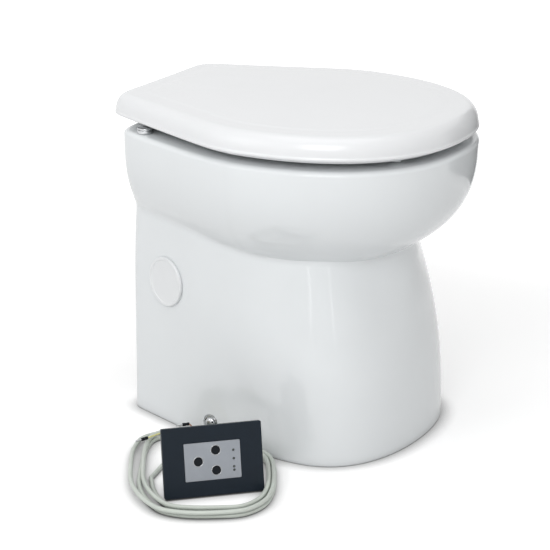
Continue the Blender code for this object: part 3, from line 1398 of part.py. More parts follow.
def discharge():
    """A bent pipe from the pump's port, the joker valve, and a barbed tail for the hose."""
    start = OUTLET_X + GAP
    route = [(start, OUTLET_Y, PUMP_Z)]
    for x, y in arc((start + PIPE_LEAD, OUTLET_Y + PIPE_BEND), PIPE_BEND, -90, 0, 6):
        route.append((x, y, PUMP_Z))
    slant = [
        (PIPE_SIDE_X, PIPE_STRAIGHT_END, PUMP_Z),
        (PIPE_SIDE_X - PIPE_INWARD * 0.12, PIPE_INWARD_START, PUMP_Z),
        (DISCHARGE_X + PIPE_INWARD * 0.12, PIPE_INWARD_END, PUMP_Z),
        (DISCHARGE_X, PIPE_END - PIPE_LEAD, PUMP_Z),
    ]
    route += [tuple(place) for place in smooth_path(slant, 6)]
    route.append((DISCHARGE_X, PIPE_END, PUMP_Z))
    body = as_mesh(tube("discharge_pipe", route, OUTLET_RADIUS, PUMP_PLASTIC, roundness=2))
    before = [(start - OVERRUN, OUTLET_Y, PUMP_Z)]
    after = [(DISCHARGE_X, PIPE_END + OVERRUN, PUMP_Z)]
    bore = as_mesh(tube("pipe_bore", before + route[1:-1] + after, OUTLET_RADIUS - PIPE_WALL, roundness=2))
    cut(body, bore)
    seat = VALVE_RADIUS - PIPE_WALL - GAP
    lips = [
        (SPIGOT_TAIL_BORE, GAP * 2),
        (seat, GAP * 2),
        (seat, VALVE_LENGTH * 0.20),
        (SPIGOT_TAIL_BORE, VALVE_LENGTH * 0.24),
        (SPIGOT_TAIL_BORE * 0.35, VALVE_LENGTH * 0.85),
        (SPIGOT_TAIL_BORE * 0.20, VALVE_LENGTH * 0.85),
    ]
    place = (DISCHARGE_X, VALVE_START, PUMP_Z)
    turned("joker_valve", lips[::-1], place, RUBBER, TURN_TO_Y, closed=True)
    tail = SPIGOT_TAIL_END - VALVE_START
    profile = [(SPIGOT_TAIL_BORE, tail), (SPIGOT_TAIL_RADIUS, tail)]
    for share in BARB_SHARES:
        profile.append((SPIGOT_TAIL_RADIUS + SPIGOT_BARB, tail * share))
        profile.append((SPIGOT_TAIL_RADIUS, tail * share - SPIGOT_BARB))
    profile += [
        (SPIGOT_TAIL_RADIUS, VALVE_LENGTH + PIPE_WALL),
        (VALVE_RADIUS, VALVE_LENGTH + PIPE_WALL),
        (VALVE_RADIUS, PIPE_WALL * 1.5),
        (VALVE_FLANGE, PIPE_WALL * 1.5),
        (VALVE_FLANGE, 0),
        (VALVE_RADIUS - PIPE_WALL, 0),
        (VALVE_RADIUS - PIPE_WALL, VALVE_LENGTH),
        (SPIGOT_TAIL_BORE, VALVE_LENGTH),
    ]
    turned("discharge_spigot", profile, place, PUMP_PLASTIC, TURN_TO_Y, closed=True)


# Rinse water: the solenoid valve on the upright, its hose, and the nozzle in the basin's wall
VALVE_X = -0.0340
VALVE_Z = 0.118
VALVE_BODY_RADIUS = 0.0105
VALVE_BEHIND = 0.058
VALVE_BODY_LENGTH = 0.047
VALVE_BODY_FRONT = INLET_Y + VALVE_BEHIND
VALVE_BODY_REAR = VALVE_BODY_FRONT + VALVE_BODY_LENGTH
VALVE_BORE = 0.0045
NIPPLE_RADIUS = 0.0072
NIPPLE_LENGTH = 0.007
NIPPLE_REACH = 0.044
NIPPLE_END = VALVE_BODY_REAR + NIPPLE_REACH
SOLENOID_SETBACK = 0.023
SOLENOID_Y = VALVE_BODY_FRONT + SOLENOID_SETBACK
SOLENOID_RADIUS = 0.0155
SOLENOID_HEIGHT = 0.034
SOLENOID_BORE = 0.0052
VALVE_BOSS = 0.0125
PLUNGER_RADIUS = 0.0045
PLUNGER_LENGTH = 0.016
SPRING_RADIUS = 0.0034
SPRING_WIRE = 0.0004
SPRING_TURNS = 5
HOSE_RADIUS = 0.0070
HOSE_BORE = 0.0045
HOSE_POINTS = 18
SOLENOID_BOTTOM = VALVE_Z + VALVE_BOSS + GAP
HOSE_START = VALVE_BODY_FRONT - NIPPLE_LENGTH - GAP


def rinse_valve():
    """The valve's brass body with its boss and nipples, the coil, the plunger and its spring."""
    front = VALVE_BODY_FRONT
    body = turned(
        "solenoid_valve",
        [
            (0, NIPPLE_END),
            (NIPPLE_RADIUS, NIPPLE_END),
            (NIPPLE_RADIUS, VALVE_BODY_REAR),
            (VALVE_BODY_RADIUS, VALVE_BODY_REAR),
            (VALVE_BODY_RADIUS, front),
            (NIPPLE_RADIUS, front),
            (NIPPLE_RADIUS, front - NIPPLE_LENGTH),
            (0, front - NIPPLE_LENGTH),
        ],
        (VALVE_X, 0, VALVE_Z),
        BRASS,
        TURN_TO_Y,
        16,
    )
    boss_middle = (VALVE_X, SOLENOID_Y, VALVE_Z + VALVE_BOSS / 2)
    boss = rod("valve_boss", SOLENOID_RADIUS * 0.8, VALVE_BOSS, boss_middle)
    face = UPRIGHT_X + BASE_THICKNESS / 2 + GAP
    size = (VALVE_X - face, VALVE_BODY_RADIUS * 2, VALVE_BODY_RADIUS * 1.2)
    foot = box("valve_foot", size, ((VALVE_X + face) / 2, SOLENOID_Y, VALVE_Z))
    waterway = rod(
        "valve_bore_cutter",
        VALVE_BORE,
        NIPPLE_END - front + NIPPLE_LENGTH + OVERRUN * 2,
        (VALVE_X, (NIPPLE_END + front - NIPPLE_LENGTH) / 2, VALVE_Z),
        turn=TURN_TO_Y,
        sides=ROUND_SIDES,
    )
    well = rod(
        "valve_well_cutter",
        SOLENOID_BORE,
        VALVE_BOSS + OVERRUN,
        (VALVE_X, SOLENOID_Y, VALVE_Z + (VALVE_BOSS + OVERRUN) / 2),
        sides=ROUND_SIDES,
    )
    join(body, boss, foot)
    cut(body, waterway, well)
    bottom = SOLENOID_BOTTOM
    top = bottom + SOLENOID_HEIGHT
    roof = top - SOLENOID_BORE
    turned(
        "solenoid_coil",
        [
            (0, top),
            (SOLENOID_BORE, top),
            (SOLENOID_RADIUS * 0.85, top),
            (SOLENOID_RADIUS, top - SOLENOID_BORE * 0.6),
            (SOLENOID_RADIUS, bottom + SOLENOID_BORE * 0.6),
            (SOLENOID_RADIUS * 0.85, bottom),
            (SOLENOID_BORE, bottom),
            (SOLENOID_BORE, roof),
            (0, roof),
        ],
        (VALVE_X, SOLENOID_Y, 0),
        PUMP_PLASTIC,
    )
    plunger_bottom = VALVE_Z + VALVE_BORE + GAP
    plunger_top = plunger_bottom + PLUNGER_LENGTH
    plunger_middle = (VALVE_X, SOLENOID_Y, (plunger_bottom + plunger_top) / 2)
    rod("solenoid_plunger", PLUNGER_RADIUS, PLUNGER_LENGTH, plunger_middle, STEEL, sides=ROUND_SIDES)
    spring_bottom = plunger_top + SPRING_WIRE + GAP
    spring_top = roof - SPRING_WIRE - GAP
    turns = np.linspace(0, 1, SPRING_TURNS * 8 + 1)
    coil = [
        (
            VALVE_X + SPRING_RADIUS * math.cos(2 * math.pi * SPRING_TURNS * share),
            SOLENOID_Y + SPRING_RADIUS * math.sin(2 * math.pi * SPRING_TURNS * share),
            spring_bottom + (spring_top - spring_bottom) * share,
        )
        for share in turns
    ]
    tube("solenoid_spring", coil, SPRING_WIRE, STEEL, roundness=0)


NOZZLE_PROUD = 0.00625
NOZZLE_LENGTH = 0.0275
NOZZLE_HEAD_RADIUS = 0.011
NOZZLE_HEAD_THICKNESS = 0.0045
NOZZLE_HEAD = basin_back(NOZZLE_HEIGHT) - NOZZLE_PROUD
NOZZLE_TAIL = NOZZLE_HEAD + NOZZLE_LENGTH
HOSE_LEAD = 0.003
# Places across and behind the pump's inlet, and their shares of the climb from the valve to the nozzle
HOSE_ROUTE = (
    (-0.0365, 0.0370),
    (-0.0400, 0.0330),
    (-0.0380, 0.0410),
    (-0.0320, 0.0610),
    (-0.0240, 0.0890),
    (-0.0170, 0.1110),
    (-0.0100, 0.1250),
    (-0.0030, 0.1330),
    (-0.0002, 0.1275),
)
HOSE_CLIMB_SHARES = (0.0294, 0.1176, 0.2157, 0.2990, 0.3824, 0.5245, 0.7059, 0.8676, 0.9681)


def rinse_hose():
    """The hose from the valve's front nipple up behind the basin, and the nozzle that it feeds."""
    turned(
        "rinse_nozzle",
        [
            (NOZZLE_BORE, NOZZLE_TAIL),
            (NOZZLE_RADIUS, NOZZLE_TAIL),
            (NOZZLE_RADIUS, NOZZLE_HEAD + NOZZLE_HEAD_THICKNESS),
            (NOZZLE_HEAD_RADIUS, NOZZLE_HEAD + NOZZLE_HEAD_THICKNESS),
            (NOZZLE_HEAD_RADIUS, NOZZLE_HEAD + NOZZLE_HEAD_THICKNESS / 2),
            (NOZZLE_RADIUS, NOZZLE_HEAD),
            (NOZZLE_BORE, NOZZLE_HEAD),
        ],
        (0, 0, NOZZLE_HEIGHT),
        CAP_WHITE,
        TURN_TO_Y,
        closed=True,
    )
    start = Vector((VALVE_X, HOSE_START, VALVE_Z))
    end = Vector((0, NOZZLE_TAIL + GAP, NOZZLE_HEIGHT))
    forward = Vector((0, -1, 0))
    climb = NOZZLE_HEIGHT - VALVE_Z
    route = [
        (x, INLET_Y + behind, VALVE_Z + climb * share)
        for (x, behind), share in zip(HOSE_ROUTE, HOSE_CLIMB_SHARES)
    ]
    path = laid_path(start, forward, route, end, forward, HOSE_LEAD, HOSE_POINTS)
    hose = as_mesh(tube("rinse_hose", path, HOSE_RADIUS, HOSE, roundness=1))
    before = [tuple(start - forward * OVERRUN)]
    after = [tuple(end + forward * OVERRUN)]
    cut(hose, as_mesh(tube("hose_bore", before + path[1:-1] + after, HOSE_BORE, roundness=1)))


# Control box of the pump, on the upright's outer side
BOX_SIZE = (0.028, 0.070, 0.056)
BOX_AHEAD = 0.025
BOX_MIDDLE_Y = INLET_Y - BOX_AHEAD
BOX_MIDDLE_Z = 0.052
BOX_WALL = 0.0022
BOX_LID_THICKNESS = 0.003
BOX_CORNER = 0.004


def control_box():
    """A closed box for the flush electronics and its lid, screwed to the upright."""
    depth, length, height = BOX_SIZE
    face = UPRIGHT_X - BASE_THICKNESS / 2 - GAP
    shell_depth = depth - BOX_LID_THICKNESS
    outline = rounded_rectangle(length, height, BOX_CORNER, 3)
    turn = (math.pi / 2, 0, math.pi / 2)
    middle = (face - shell_depth / 2, BOX_MIDDLE_Y, BOX_MIDDLE_Z)
    shell = plate("control_box", outline, shell_depth, middle, BOX_GREY, turn)
    hollow = rounded_rectangle(length - BOX_WALL * 2, height - BOX_WALL * 2, BOX_CORNER - BOX_WALL / 2, 3)
    room = plate("box_cutter", hollow, shell_depth, (middle[0] - BOX_WALL, middle[1], middle[2]), turn=turn)
    cut(shell, room)
    lid_middle = (face - shell_depth - GAP - BOX_LID_THICKNESS / 2, middle[1], middle[2])
    cover = plate("control_box_lid", outline, BOX_LID_THICKNESS, lid_middle, BOX_GREY, turn)
    soften(cover, BOX_LID_THICKNESS / 4, 1)


# Control panel: a frame round a silver plate with three buttons, standing on the floor and leaning back
PANEL_PLACE = (-0.2813, -0.2335, 0.0023)
PANEL_LEAN = math.radians(14)
PANEL_TURN = math.radians(45)
FRAME_WIDTH = 0.120
FRAME_HEIGHT = 0.083
FRAME_THICKNESS = 0.007
FRAME_CORNER = 0.0018
PLATE_WIDTH = 0.0675
PLATE_HEIGHT = 0.0450
PLATE_CORNER = 0.0012
PLATE_CENTRE_X = -0.0005
PLATE_CENTRE_Z = 0.0408
PLATE_THICKNESS = 0.0015
PLATE_RECESS = 0.0004
BUTTON_RADIUS = 0.0051
BUTTON_PROUD = 0.0010
BUTTON_TRAVEL = 0.0006
BUTTON_FLANGE = 0.0011
BUTTON_PLACES = (("top", 0.0036, 0.0532), ("left", -0.0178, 0.0411), ("bottom", 0.0034, 0.0293))
LAMP_RADIUS = 0.0012
LAMP_X = 0.0249
LAMP_HEIGHTS = (0.0514, 0.0413, 0.0317, 0.0277)
BACK_BOX_WIDTH = 0.092
BACK_BOX_HEIGHT = 0.064
BACK_BOX_DEPTH = 0.033
BACK_BOX_WALL = 0.0020
BACK_BOX_BOTTOM = 0.0084
BOARD_THICKNESS = 0.0016
BOARD_INSET = 0.0030
GLAND_RADIUS = 0.0065
GLAND_LENGTH = 0.014
GLAND_TIP_RADIUS = 0.0042
GLAND_X = 0.0
GLAND_Z = 0.030
BACK_BOX_START = FRAME_THICKNESS + GAP
GLAND_END = BACK_BOX_START + BACK_BOX_DEPTH + GLAND_LENGTH
CABLE_DIAMETER = 0.0055
CABLE_RADIUS = CABLE_DIAMETER / 2


def panel_pose():
    """The empty that every piece of the control panel hangs on: its face is local -Y."""
    pose = bpy.data.objects.new("panel_pose", None)
    pose.location = PANEL_PLACE
    pose.rotation_euler = (-PANEL_LEAN, 0, -PANEL_TURN)
    PARTS.objects.link(pose)
    bpy.context.view_layer.update()
    return pose


def panel():
    """The panel's frame, plate, buttons, lamps, circuit board and back box with its cable gland."""
    pose = panel_pose()
    upright = (math.pi / 2, 0, 0)
    frame_middle = (0, FRAME_THICKNESS / 2, FRAME_HEIGHT / 2)
    frame = plate(
        "panel_frame",
        rounded_rectangle(FRAME_WIDTH, FRAME_HEIGHT, FRAME_CORNER, 3),
        FRAME_THICKNESS,
        frame_middle,
        PANEL_BLACK,
        upright,
        pose,
    )
    soften(frame, FRAME_CORNER / 3, 1)
    window = plate(
        "frame_window_cutter",
        rounded_rectangle(PLATE_WIDTH + RUNNING_GAP, PLATE_HEIGHT + RUNNING_GAP, PLATE_CORNER, 3),
        FRAME_THICKNESS * 3,
        (PLATE_CENTRE_X, 0, PLATE_CENTRE_Z),
        turn=upright,
        parent=pose,
    )
    cut(frame, window)
    plate_y = PLATE_RECESS + PLATE_THICKNESS / 2
    face = plate(
        "panel_plate",
        rounded_rectangle(PLATE_WIDTH, PLATE_HEIGHT, PLATE_CORNER, 3),
        PLATE_THICKNESS,
        (PLATE_CENTRE_X, plate_y, PLATE_CENTRE_Z),
        PLATE_SILVER,
        upright,
        pose,
    )
    plate_back = PLATE_RECESS + PLATE_THICKNESS
    flange_front = plate_back + GAP
    flange_back = flange_front + BUTTON_FLANGE
    board_front = flange_back + BUTTON_TRAVEL + GAP
    for word, x, z in BUTTON_PLACES:
        hole = BUTTON_RADIUS + GAP
        cut(face, rod(f"hole_{word}", hole, FRAME_THICKNESS, (x, plate_y, z), turn=upright, parent=pose))
        front = PLATE_RECESS - BUTTON_PROUD
        turned(
            f"button_{word}",
            [
                (0, -front),
                (BUTTON_RADIUS * 0.86, -front),
                (BUTTON_RADIUS, -front - BUTTON_PROUD * 0.4),
                (BUTTON_RADIUS, -flange_front),
                (BUTTON_RADIUS * 1.2, -flange_front),
                (BUTTON_RADIUS * 1.2, -flange_back),
                (0, -flange_back),
            ],
            (x, 0, z),
            BUTTON_BLACK,
            upright,
            16,
            pose,
        )
    bar_depth = board_front - plate_back - GAP * 2
    bar_height = LAMP_HEIGHTS[0] - LAMP_HEIGHTS[-1] + LAMP_RADIUS * 4
    bar_middle = (LAMP_X, plate_back + GAP + bar_depth / 2, (LAMP_HEIGHTS[0] + LAMP_HEIGHTS[-1]) / 2)
    bar = box("indicator_lights", (LAMP_RADIUS * 4, bar_depth, bar_height), bar_middle, LAMP, parent=pose)
    for index, z in enumerate(LAMP_HEIGHTS):
        hole = LAMP_RADIUS + GAP
        place = (LAMP_X, plate_y, z)
        name = f"lamp_hole_{index}"
        cut(face, rod(name, hole, FRAME_THICKNESS, place, turn=upright, sides=8, parent=pose))
        depth = PLATE_THICKNESS + bar_depth / 2 + GAP
        lens = (LAMP_X, PLATE_RECESS + depth / 2, z)
        join(bar, rod(f"lamp_{index}", LAMP_RADIUS, depth, lens, turn=upright, sides=8, parent=pose))
    board = (0, board_front + BOARD_THICKNESS / 2, PLATE_CENTRE_Z)
    size = (PLATE_WIDTH - BOARD_INSET, BOARD_THICKNESS, PLATE_HEIGHT - BOARD_INSET)
    box("circuit_board", size, board, BOARD_GREEN, parent=pose)
    back_box(pose, BACK_BOX_START)
    return pose


def back_box(pose, start):
    """The box behind the frame, with the cable's gland."""
    upright = (math.pi / 2, 0, 0)
    middle_z = BACK_BOX_BOTTOM + BACK_BOX_HEIGHT / 2
    outer = rounded_rectangle(BACK_BOX_WIDTH, BACK_BOX_HEIGHT, BOX_CORNER, 3)
    inner = rounded_rectangle(
        BACK_BOX_WIDTH - BACK_BOX_WALL * 2, BACK_BOX_HEIGHT - BACK_BOX_WALL * 2, BOX_CORNER / 2, 3
    )
    middle = (0, start + BACK_BOX_DEPTH / 2, middle_z)
    shell = plate("panel_back_box", outer, BACK_BOX_DEPTH, middle, PANEL_BLACK, upright, pose)
    hollow = (0, start + BACK_BOX_DEPTH / 2 - BACK_BOX_WALL, middle_z)
    gland_y = start + BACK_BOX_DEPTH
    root = BACK_BOX_WALL / 2
    gland = rod(
        "gland",
        GLAND_TIP_RADIUS,
        GLAND_LENGTH + root,
        (GLAND_X, gland_y + (GLAND_LENGTH - root) / 2, GLAND_Z),
        turn=upright,
        parent=pose,
        sides=ROUND_SIDES,
        tip=GLAND_RADIUS,
    )
    join(shell, gland)
    cut(shell, plate("back_box_cutter", inner, BACK_BOX_DEPTH, hollow, turn=upright, parent=pose))


# Cable: a free stretch from the panel's gland, then loose loops round the panel's foot
COIL_CENTRE = (-0.2316, BOWL_AXIS_Y - 0.0025)
COIL_TURN = math.radians(-59.1)
COIL_HALF_WIDTH = 0.0883
COIL_HALF_LENGTH = 0.1365
COIL_OVAL_SHARE = 3.2
COIL_SOFT_CORNER_SHARE = 0.8
COIL_WALL_SIDE = 0.0860
COIL_CORNER_SHARE = 7
COIL_START_SHARE = 0.556
COIL_TURNS = 3.68
COIL_LIFT = 0.0062
COIL_POINTS = 24
COIL_PITCHES = (0.0061, 0.0068, 0.0150, 0.0140)
CABLE_LAY = CABLE_RADIUS + GAP
CORE_RADIUS = 0.0009
CORE_SIDE = 0.0013
CORE_LEAD = 0.002
CRIMP_RADIUS = 0.0021
CRIMP_LENGTH = 0.009
PIN_RADIUS = 0.0010
PIN_LENGTH = 0.009


def to_floor(across, deep, height):
    """A place from its reach across the photograph's view and its depth into it."""
    x = across * math.cos(COIL_TURN) - deep * math.sin(COIL_TURN)
    y = across * math.sin(COIL_TURN) + deep * math.cos(COIL_TURN)
    return x, BOWL_AXIS_Y + y, height


def coil_outline(angle):
    """The outermost loop's outline: an oval that is flattened where it passes the pedestal."""
    across = np.cos(angle)
    deep = np.sin(angle)
    soft = np.clip(-across, 0, 1) * np.clip(-deep, 0, 1) * 2
    power = COIL_OVAL_SHARE - COIL_SOFT_CORNER_SHARE * soft
    free = np.abs(across / COIL_HALF_WIDTH) ** power + np.abs(deep / COIL_HALF_LENGTH) ** power
    x = across * math.cos(COIL_TURN) - deep * math.sin(COIL_TURN)
    y = across * math.sin(COIL_TURN) + deep * math.cos(COIL_TURN)
    wall = np.clip(x, LEAST_SHARE * 10, None) / COIL_WALL_SIDE
    corner = COIL_CORNER_SHARE
    reach = (free ** (corner / power) + wall**corner) ** (-1 / corner)
    return np.stack([COIL_CENTRE[0] + reach * x, COIL_CENTRE[1] + reach * y], axis=-1)


def coil_points():
    """Points along the coil: it spirals out on the floor, climbs one layer and spirals in again."""
    turns = np.linspace(0, COIL_TURNS, round(COIL_TURNS * COIL_POINTS) + 1)
    angle = 2 * math.pi * (COIL_START_SHARE + turns)
    step = math.pi / COIL_POINTS
    along = coil_outline(angle + step) - coil_outline(angle - step)
    along /= np.linalg.norm(along, axis=-1, keepdims=True)
    inward = np.stack([-along[:, 1], along[:, 0]], axis=-1)
    right, rear, left, front = COIL_PITCHES
    endward = np.sin(angle) ** 6
    pitch = np.where(np.cos(angle) > 0, right, left) * (1 - endward)
    pitch += np.where(np.sin(angle) > 0, rear, front) * endward
    shift = pitch * np.abs(turns - COIL_TURNS / 2)
    flat = coil_outline(angle) + inward * shift[:, None]
    climb = np.clip((turns - COIL_TURNS / 2) * 2 + 0.5, 0, 1)
    height = CABLE_LAY + COIL_LIFT * climb**2 * (3 - 2 * climb)
    points = [Vector((x, y, z)) for (x, y), z in zip(flat, height)]
    first = (points[0] - points[1]).normalized() * CABLE_DIAMETER
    last = (points[-1] - points[-2]).normalized() * CABLE_DIAMETER
    return [points[0] + first] + points + [points[-1] + last]


def least_gap(points):
    """The smallest distance between the tube's own surfaces, away from neighbouring points."""
    fine = smooth_path([tuple(place) for place in points], len(points) * 8)
    spacing = np.linalg.norm(fine[1] - fine[0])
    skip = int(CABLE_DIAMETER * 4 / spacing) + 1
    least = math.inf
    for index in range(len(fine) - skip):
        distance = np.linalg.norm(fine[index + skip :] - fine[index], axis=1).min()
        least = min(least, distance - CABLE_DIAMETER)
    return least


CABLE_POINTS = 18
CORD_GAP = 0.0004
CABLE_FLOOR_ROUTE = (
    (-0.1200, -0.1900, 0.0100),
    (-0.1290, -0.1680, 0.0040),
    (-0.1440, -0.1590, CABLE_LAY),
    (-0.1600, -0.1680, CABLE_LAY),
)


def cable(pose):
    """The free stretch from the gland, and the loops."""
    coil = coil_points()
    tube("cable_coil", coil, CABLE_RADIUS, SHEATH, roundness=1)
    print(f"least gap of the coil to itself: {least_gap(coil) * 1000:.2f} mm")
    leave = pose.matrix_world @ Vector((GLAND_X, GLAND_END + CORD_GAP, GLAND_Z))
    out = (pose.matrix_world.to_3x3() @ Vector((0, 1, 0))).normalized()
    onward = (coil[1] - coil[0]).normalized()
    meet = coil[0] - onward * CORD_GAP
    route = [to_floor(*place) for place in CABLE_FLOOR_ROUTE]
    path = laid_path(leave, out, route, meet, onward, CABLE_DIAMETER, CABLE_POINTS)
    path = [(x, y, max(z, CABLE_LAY)) for x, y, z in path]
    tube("panel_cable", path, CABLE_RADIUS, SHEATH)
    return coil[-1], (coil[-1] - coil[-2]).normalized()


YELLOW_ROUTE = (
    (-0.1320, -0.1055, 0.0130),
    (-0.1480, -0.1010, 0.0150),
    (-0.1680, -0.1080, 0.0152),
    (-0.1880, -0.1260, 0.0152),
)
BROWN_ROUTE = ((-0.1275, -0.1060, 0.0130), (-0.1320, -0.0920, 0.0158), (-0.1380, -0.0815, 0.0158))
YELLOW_PIN_END = (-0.2035, -0.1375, 0.0148)
BROWN_PIN_END = (-0.1560, -0.0870, 0.0155)


def core(name, start, heading, route, pin_end, finish):
    """One core of the cable, from the sheath's end to its crimped pin."""
    places = [Vector(to_floor(*place)) for place in route]
    last = places[-1]
    onward = (Vector(to_floor(*pin_end)) - last).normalized()
    count = len(places) * 4
    middle = [tuple(place) for place in places[:-1]]
    path = laid_path(start, heading, middle, last, onward, CORE_LEAD, count)
    wire = as_mesh(tube(name, path, CORE_RADIUS, finish, roundness=0))
    inside = last - onward * CRIMP_RADIUS
    crimp = [tuple(inside), tuple(inside + onward * CRIMP_LENGTH)]
    far = inside + onward * (CRIMP_LENGTH - CRIMP_RADIUS)
    pin = [tuple(far), tuple(far + onward * PIN_LENGTH)]
    join(wire, as_mesh(tube(f"{name}_crimp", crimp, CRIMP_RADIUS)))
    join(wire, as_mesh(tube(f"{name}_pin", pin, PIN_RADIUS)))


def cores(end, heading):
    """The two cores that leave the cable's far end, each with a crimped pin."""
    side = heading.cross(Vector((0, 0, 1))).normalized() * CORE_SIDE
    start = end + heading * CORD_GAP
    core("core_yellow", start - side, heading, YELLOW_ROUTE, YELLOW_PIN_END, CORE_YELLOW)
    core("core_brown", start + side, heading, BROWN_ROUTE, BROWN_PIN_END, CORE_BROWN)


def build():
    """Make every piece."""
    ceramic_bowl()
    side_caps()
    floor_fixings()
    seat_ring()
    lid()
    hinge_bases()
    hinge_lugs()
    seat_buffers()
    pump_housing()
    pump_cover()
    boot_and_clamps()
    rotor()
    motor()
    pump_bracket()
    discharge()
    rinse_valve()
    rinse_hose()
    control_box()
    cores(*cable(panel()))


build()
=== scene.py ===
"""Finished surfaces of an electric marine toilet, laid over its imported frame.

Metres, +Z up, in the frame's own axes: the front of the bowl points along -Y.
"""

import json
import math

import bmesh
import bpy
import numpy as np
from mathutils import Euler, Matrix, Vector

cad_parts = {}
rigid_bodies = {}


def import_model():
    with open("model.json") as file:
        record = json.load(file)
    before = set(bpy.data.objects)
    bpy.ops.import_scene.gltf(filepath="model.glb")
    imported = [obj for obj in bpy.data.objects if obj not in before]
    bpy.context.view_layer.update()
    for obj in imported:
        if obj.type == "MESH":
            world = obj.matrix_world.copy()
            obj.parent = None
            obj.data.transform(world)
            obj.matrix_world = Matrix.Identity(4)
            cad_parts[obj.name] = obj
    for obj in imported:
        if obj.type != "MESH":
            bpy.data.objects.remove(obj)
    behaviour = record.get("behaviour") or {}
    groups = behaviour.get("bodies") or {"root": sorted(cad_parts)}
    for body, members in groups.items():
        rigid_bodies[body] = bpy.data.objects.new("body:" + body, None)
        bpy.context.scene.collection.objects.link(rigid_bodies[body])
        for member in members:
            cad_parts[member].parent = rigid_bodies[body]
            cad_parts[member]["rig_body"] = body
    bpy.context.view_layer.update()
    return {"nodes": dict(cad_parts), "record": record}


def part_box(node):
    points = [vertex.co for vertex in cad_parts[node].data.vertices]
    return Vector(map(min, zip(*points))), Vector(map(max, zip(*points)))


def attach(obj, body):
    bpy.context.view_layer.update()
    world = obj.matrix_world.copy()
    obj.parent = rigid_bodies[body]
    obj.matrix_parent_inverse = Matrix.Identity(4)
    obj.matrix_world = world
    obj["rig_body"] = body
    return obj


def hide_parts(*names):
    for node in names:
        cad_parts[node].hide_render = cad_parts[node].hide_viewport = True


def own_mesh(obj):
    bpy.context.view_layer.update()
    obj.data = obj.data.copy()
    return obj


bl_info = {
    "name": "Marine Toilet Finish",
    "version": (1, 0, 0),
    "blender": (4, 5, 0),
    "location": "View3D > Sidebar > Toilet",
    "description": "Builds the finished surfaces of an electric marine toilet over its frame",
    "category": "Add Mesh",
}

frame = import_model()

# Shape of the ceramic: an oval is half width, front, back and power, a flank is offset and slope
SOLID_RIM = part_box("ceramic_bowl")[1].z
RIM_RAISE = 0.007
RIM_HEIGHT = SOLID_RIM + RIM_RAISE
BACK_REACH = 0.190
REAR_WALL = 0.014
AXIS_Y = REAR_WALL / 2 - BACK_REACH
BOWL_DROP = 0.1535 + RIM_RAISE
BOWL_FLANK = (0.1960, 0.40)
BOWL_CURVE = 2.84
FAR_OVAL_BACK = 0.40
BOWL_POWER = 2.3
BOWL_OVAL = (0.1850, 0.2210, FAR_OVAL_BACK, BOWL_POWER)
PEDESTAL_HALF_WIDTH = 0.148
PEDESTAL_FRONT = 0.1748
PEDESTAL_TOP = 0.222
BULGE_AXIS = 0.0735
BULGE_BACK_LOW = 0.095
BULGE_BACK_HIGH = 0.168
BULGE_BACK_START = 0.020
BULGE_BACK_END = 0.180
BULGE_DRAW_IN = 0.037
BULGE_SIDE_DRAW_IN = 0.0265
BULGE_OVAL = 2.42
BULGE_CURVE = 2.45
BLOCK_HALF_WIDTH = 0.1335
BLOCK_FRONT = 0.155
BLOCK_POWER = 1.85
BLOCK_FLANK_OFFSET = 0.1575
BLOCK_SLOPE = 0.354
BLOCK_CORNER = 40
WAIST = 14
CREASE_SOFTNESS = 80
CORNER_SOFTNESS = 18
PEDESTAL_CORNER = 42
PEDESTAL_CORNER_END = 0.19
BOWL_CORNER_START = 0.29
DISH_DEPTH = 0.006
DISH_SPREAD = 0.022
DISH_HEIGHT = 0.030
DISH_BEHIND_AXIS = 0.050
SKIRT_WALL = 0.012
SHELL_WALL = 0.011
RIM_THICKNESS = 0.017
RIM_ROUND = 0.008
RIM_EDGE_WIDTH = 0.0085
RIM_EDGE_DEPTH = 0.0055
RIM_LIP = 0.024
RIM_UNDERCUT = 0.002
FOOT_CHAMFER = 0.002
FOOT_RISE = 0.003
FOOT_WIDTH = 0.018
FOOT_HEIGHT = 0.012
BASIN_BACK = 0.112
BASIN_OVAL = (0.128, 0.168, BASIN_BACK, 2.15)
BASIN_WALL = 0.010
THROAT_RADIUS = 0.026
THROAT_BEHIND_AXIS = 0.030
THROAT_HEIGHT = 0.226
SPIGOT_RADIUS = 0.032
SPIGOT_END = 0.178
SPIGOT_TOP = 0.208
EDGE_CUT = 0.001
# Depth below the lip, size of the opening, and how far the wall lies outwards and downwards, as shares
BASIN_SHARES = (
    (0.00, 1.07, 1.00, 0.00),
    (0.34, 1.02, 0.98, 0.20),
    (0.62, 0.83, 0.75, 0.65),
    (0.84, 0.52, 0.50, 0.85),
    (1.00, 0.07, 0.70, 0.70),
)
LEAST = 0.001
HALVINGS = 40
SPAN_STEPS = 24
CORNER_SHARE = 0.49

# Openings in the ceramic
WINDOW_WIDTH = 0.128
WINDOW_BOTTOM = 0.036
WINDOW_TOP = 0.236
WINDOW_CORNER = 0.022
CAP_BEHIND_AXIS = 0.123
CAP_HEIGHT = 0.188
CAP_PLUG_RADIUS = 0.0235
BOLT_Y = AXIS_Y + 0.051
BOLT_HEIGHT = 0.019
BOLT_RADIUS = 0.0035
BOLT_SEAT_X = 0.1255
BOLT_SEAT_RADIUS = 0.0105
STUD_X = 0.119
STUD_Y = AXIS_Y + 0.149
STUD_RADIUS = 0.0035
STUD_HOLE_RADIUS = 0.0055
NOZZLE_HEIGHT = 0.322
NOZZLE_HOLE_RADIUS = 0.0070
FLANK_LEAN = math.atan(BLOCK_SLOPE)

# Gaps between pieces, angles past which an edge is drawn sharp or bevelled, and faces round a piece
GAP = 0.0003
RUNNING_GAP = 0.0005
SHARP_ANGLE = 38
BEVEL_ANGLE = 35
HOLE_SIDES = 32
PORT_SIDES = 64
SEAT_SIDES = 40
CAP_SIDES = 128
LAMP_SIDES = 40
CORE_SIDES = 12
CRIMP_SIDES = 32
PIN_SIDES = 24

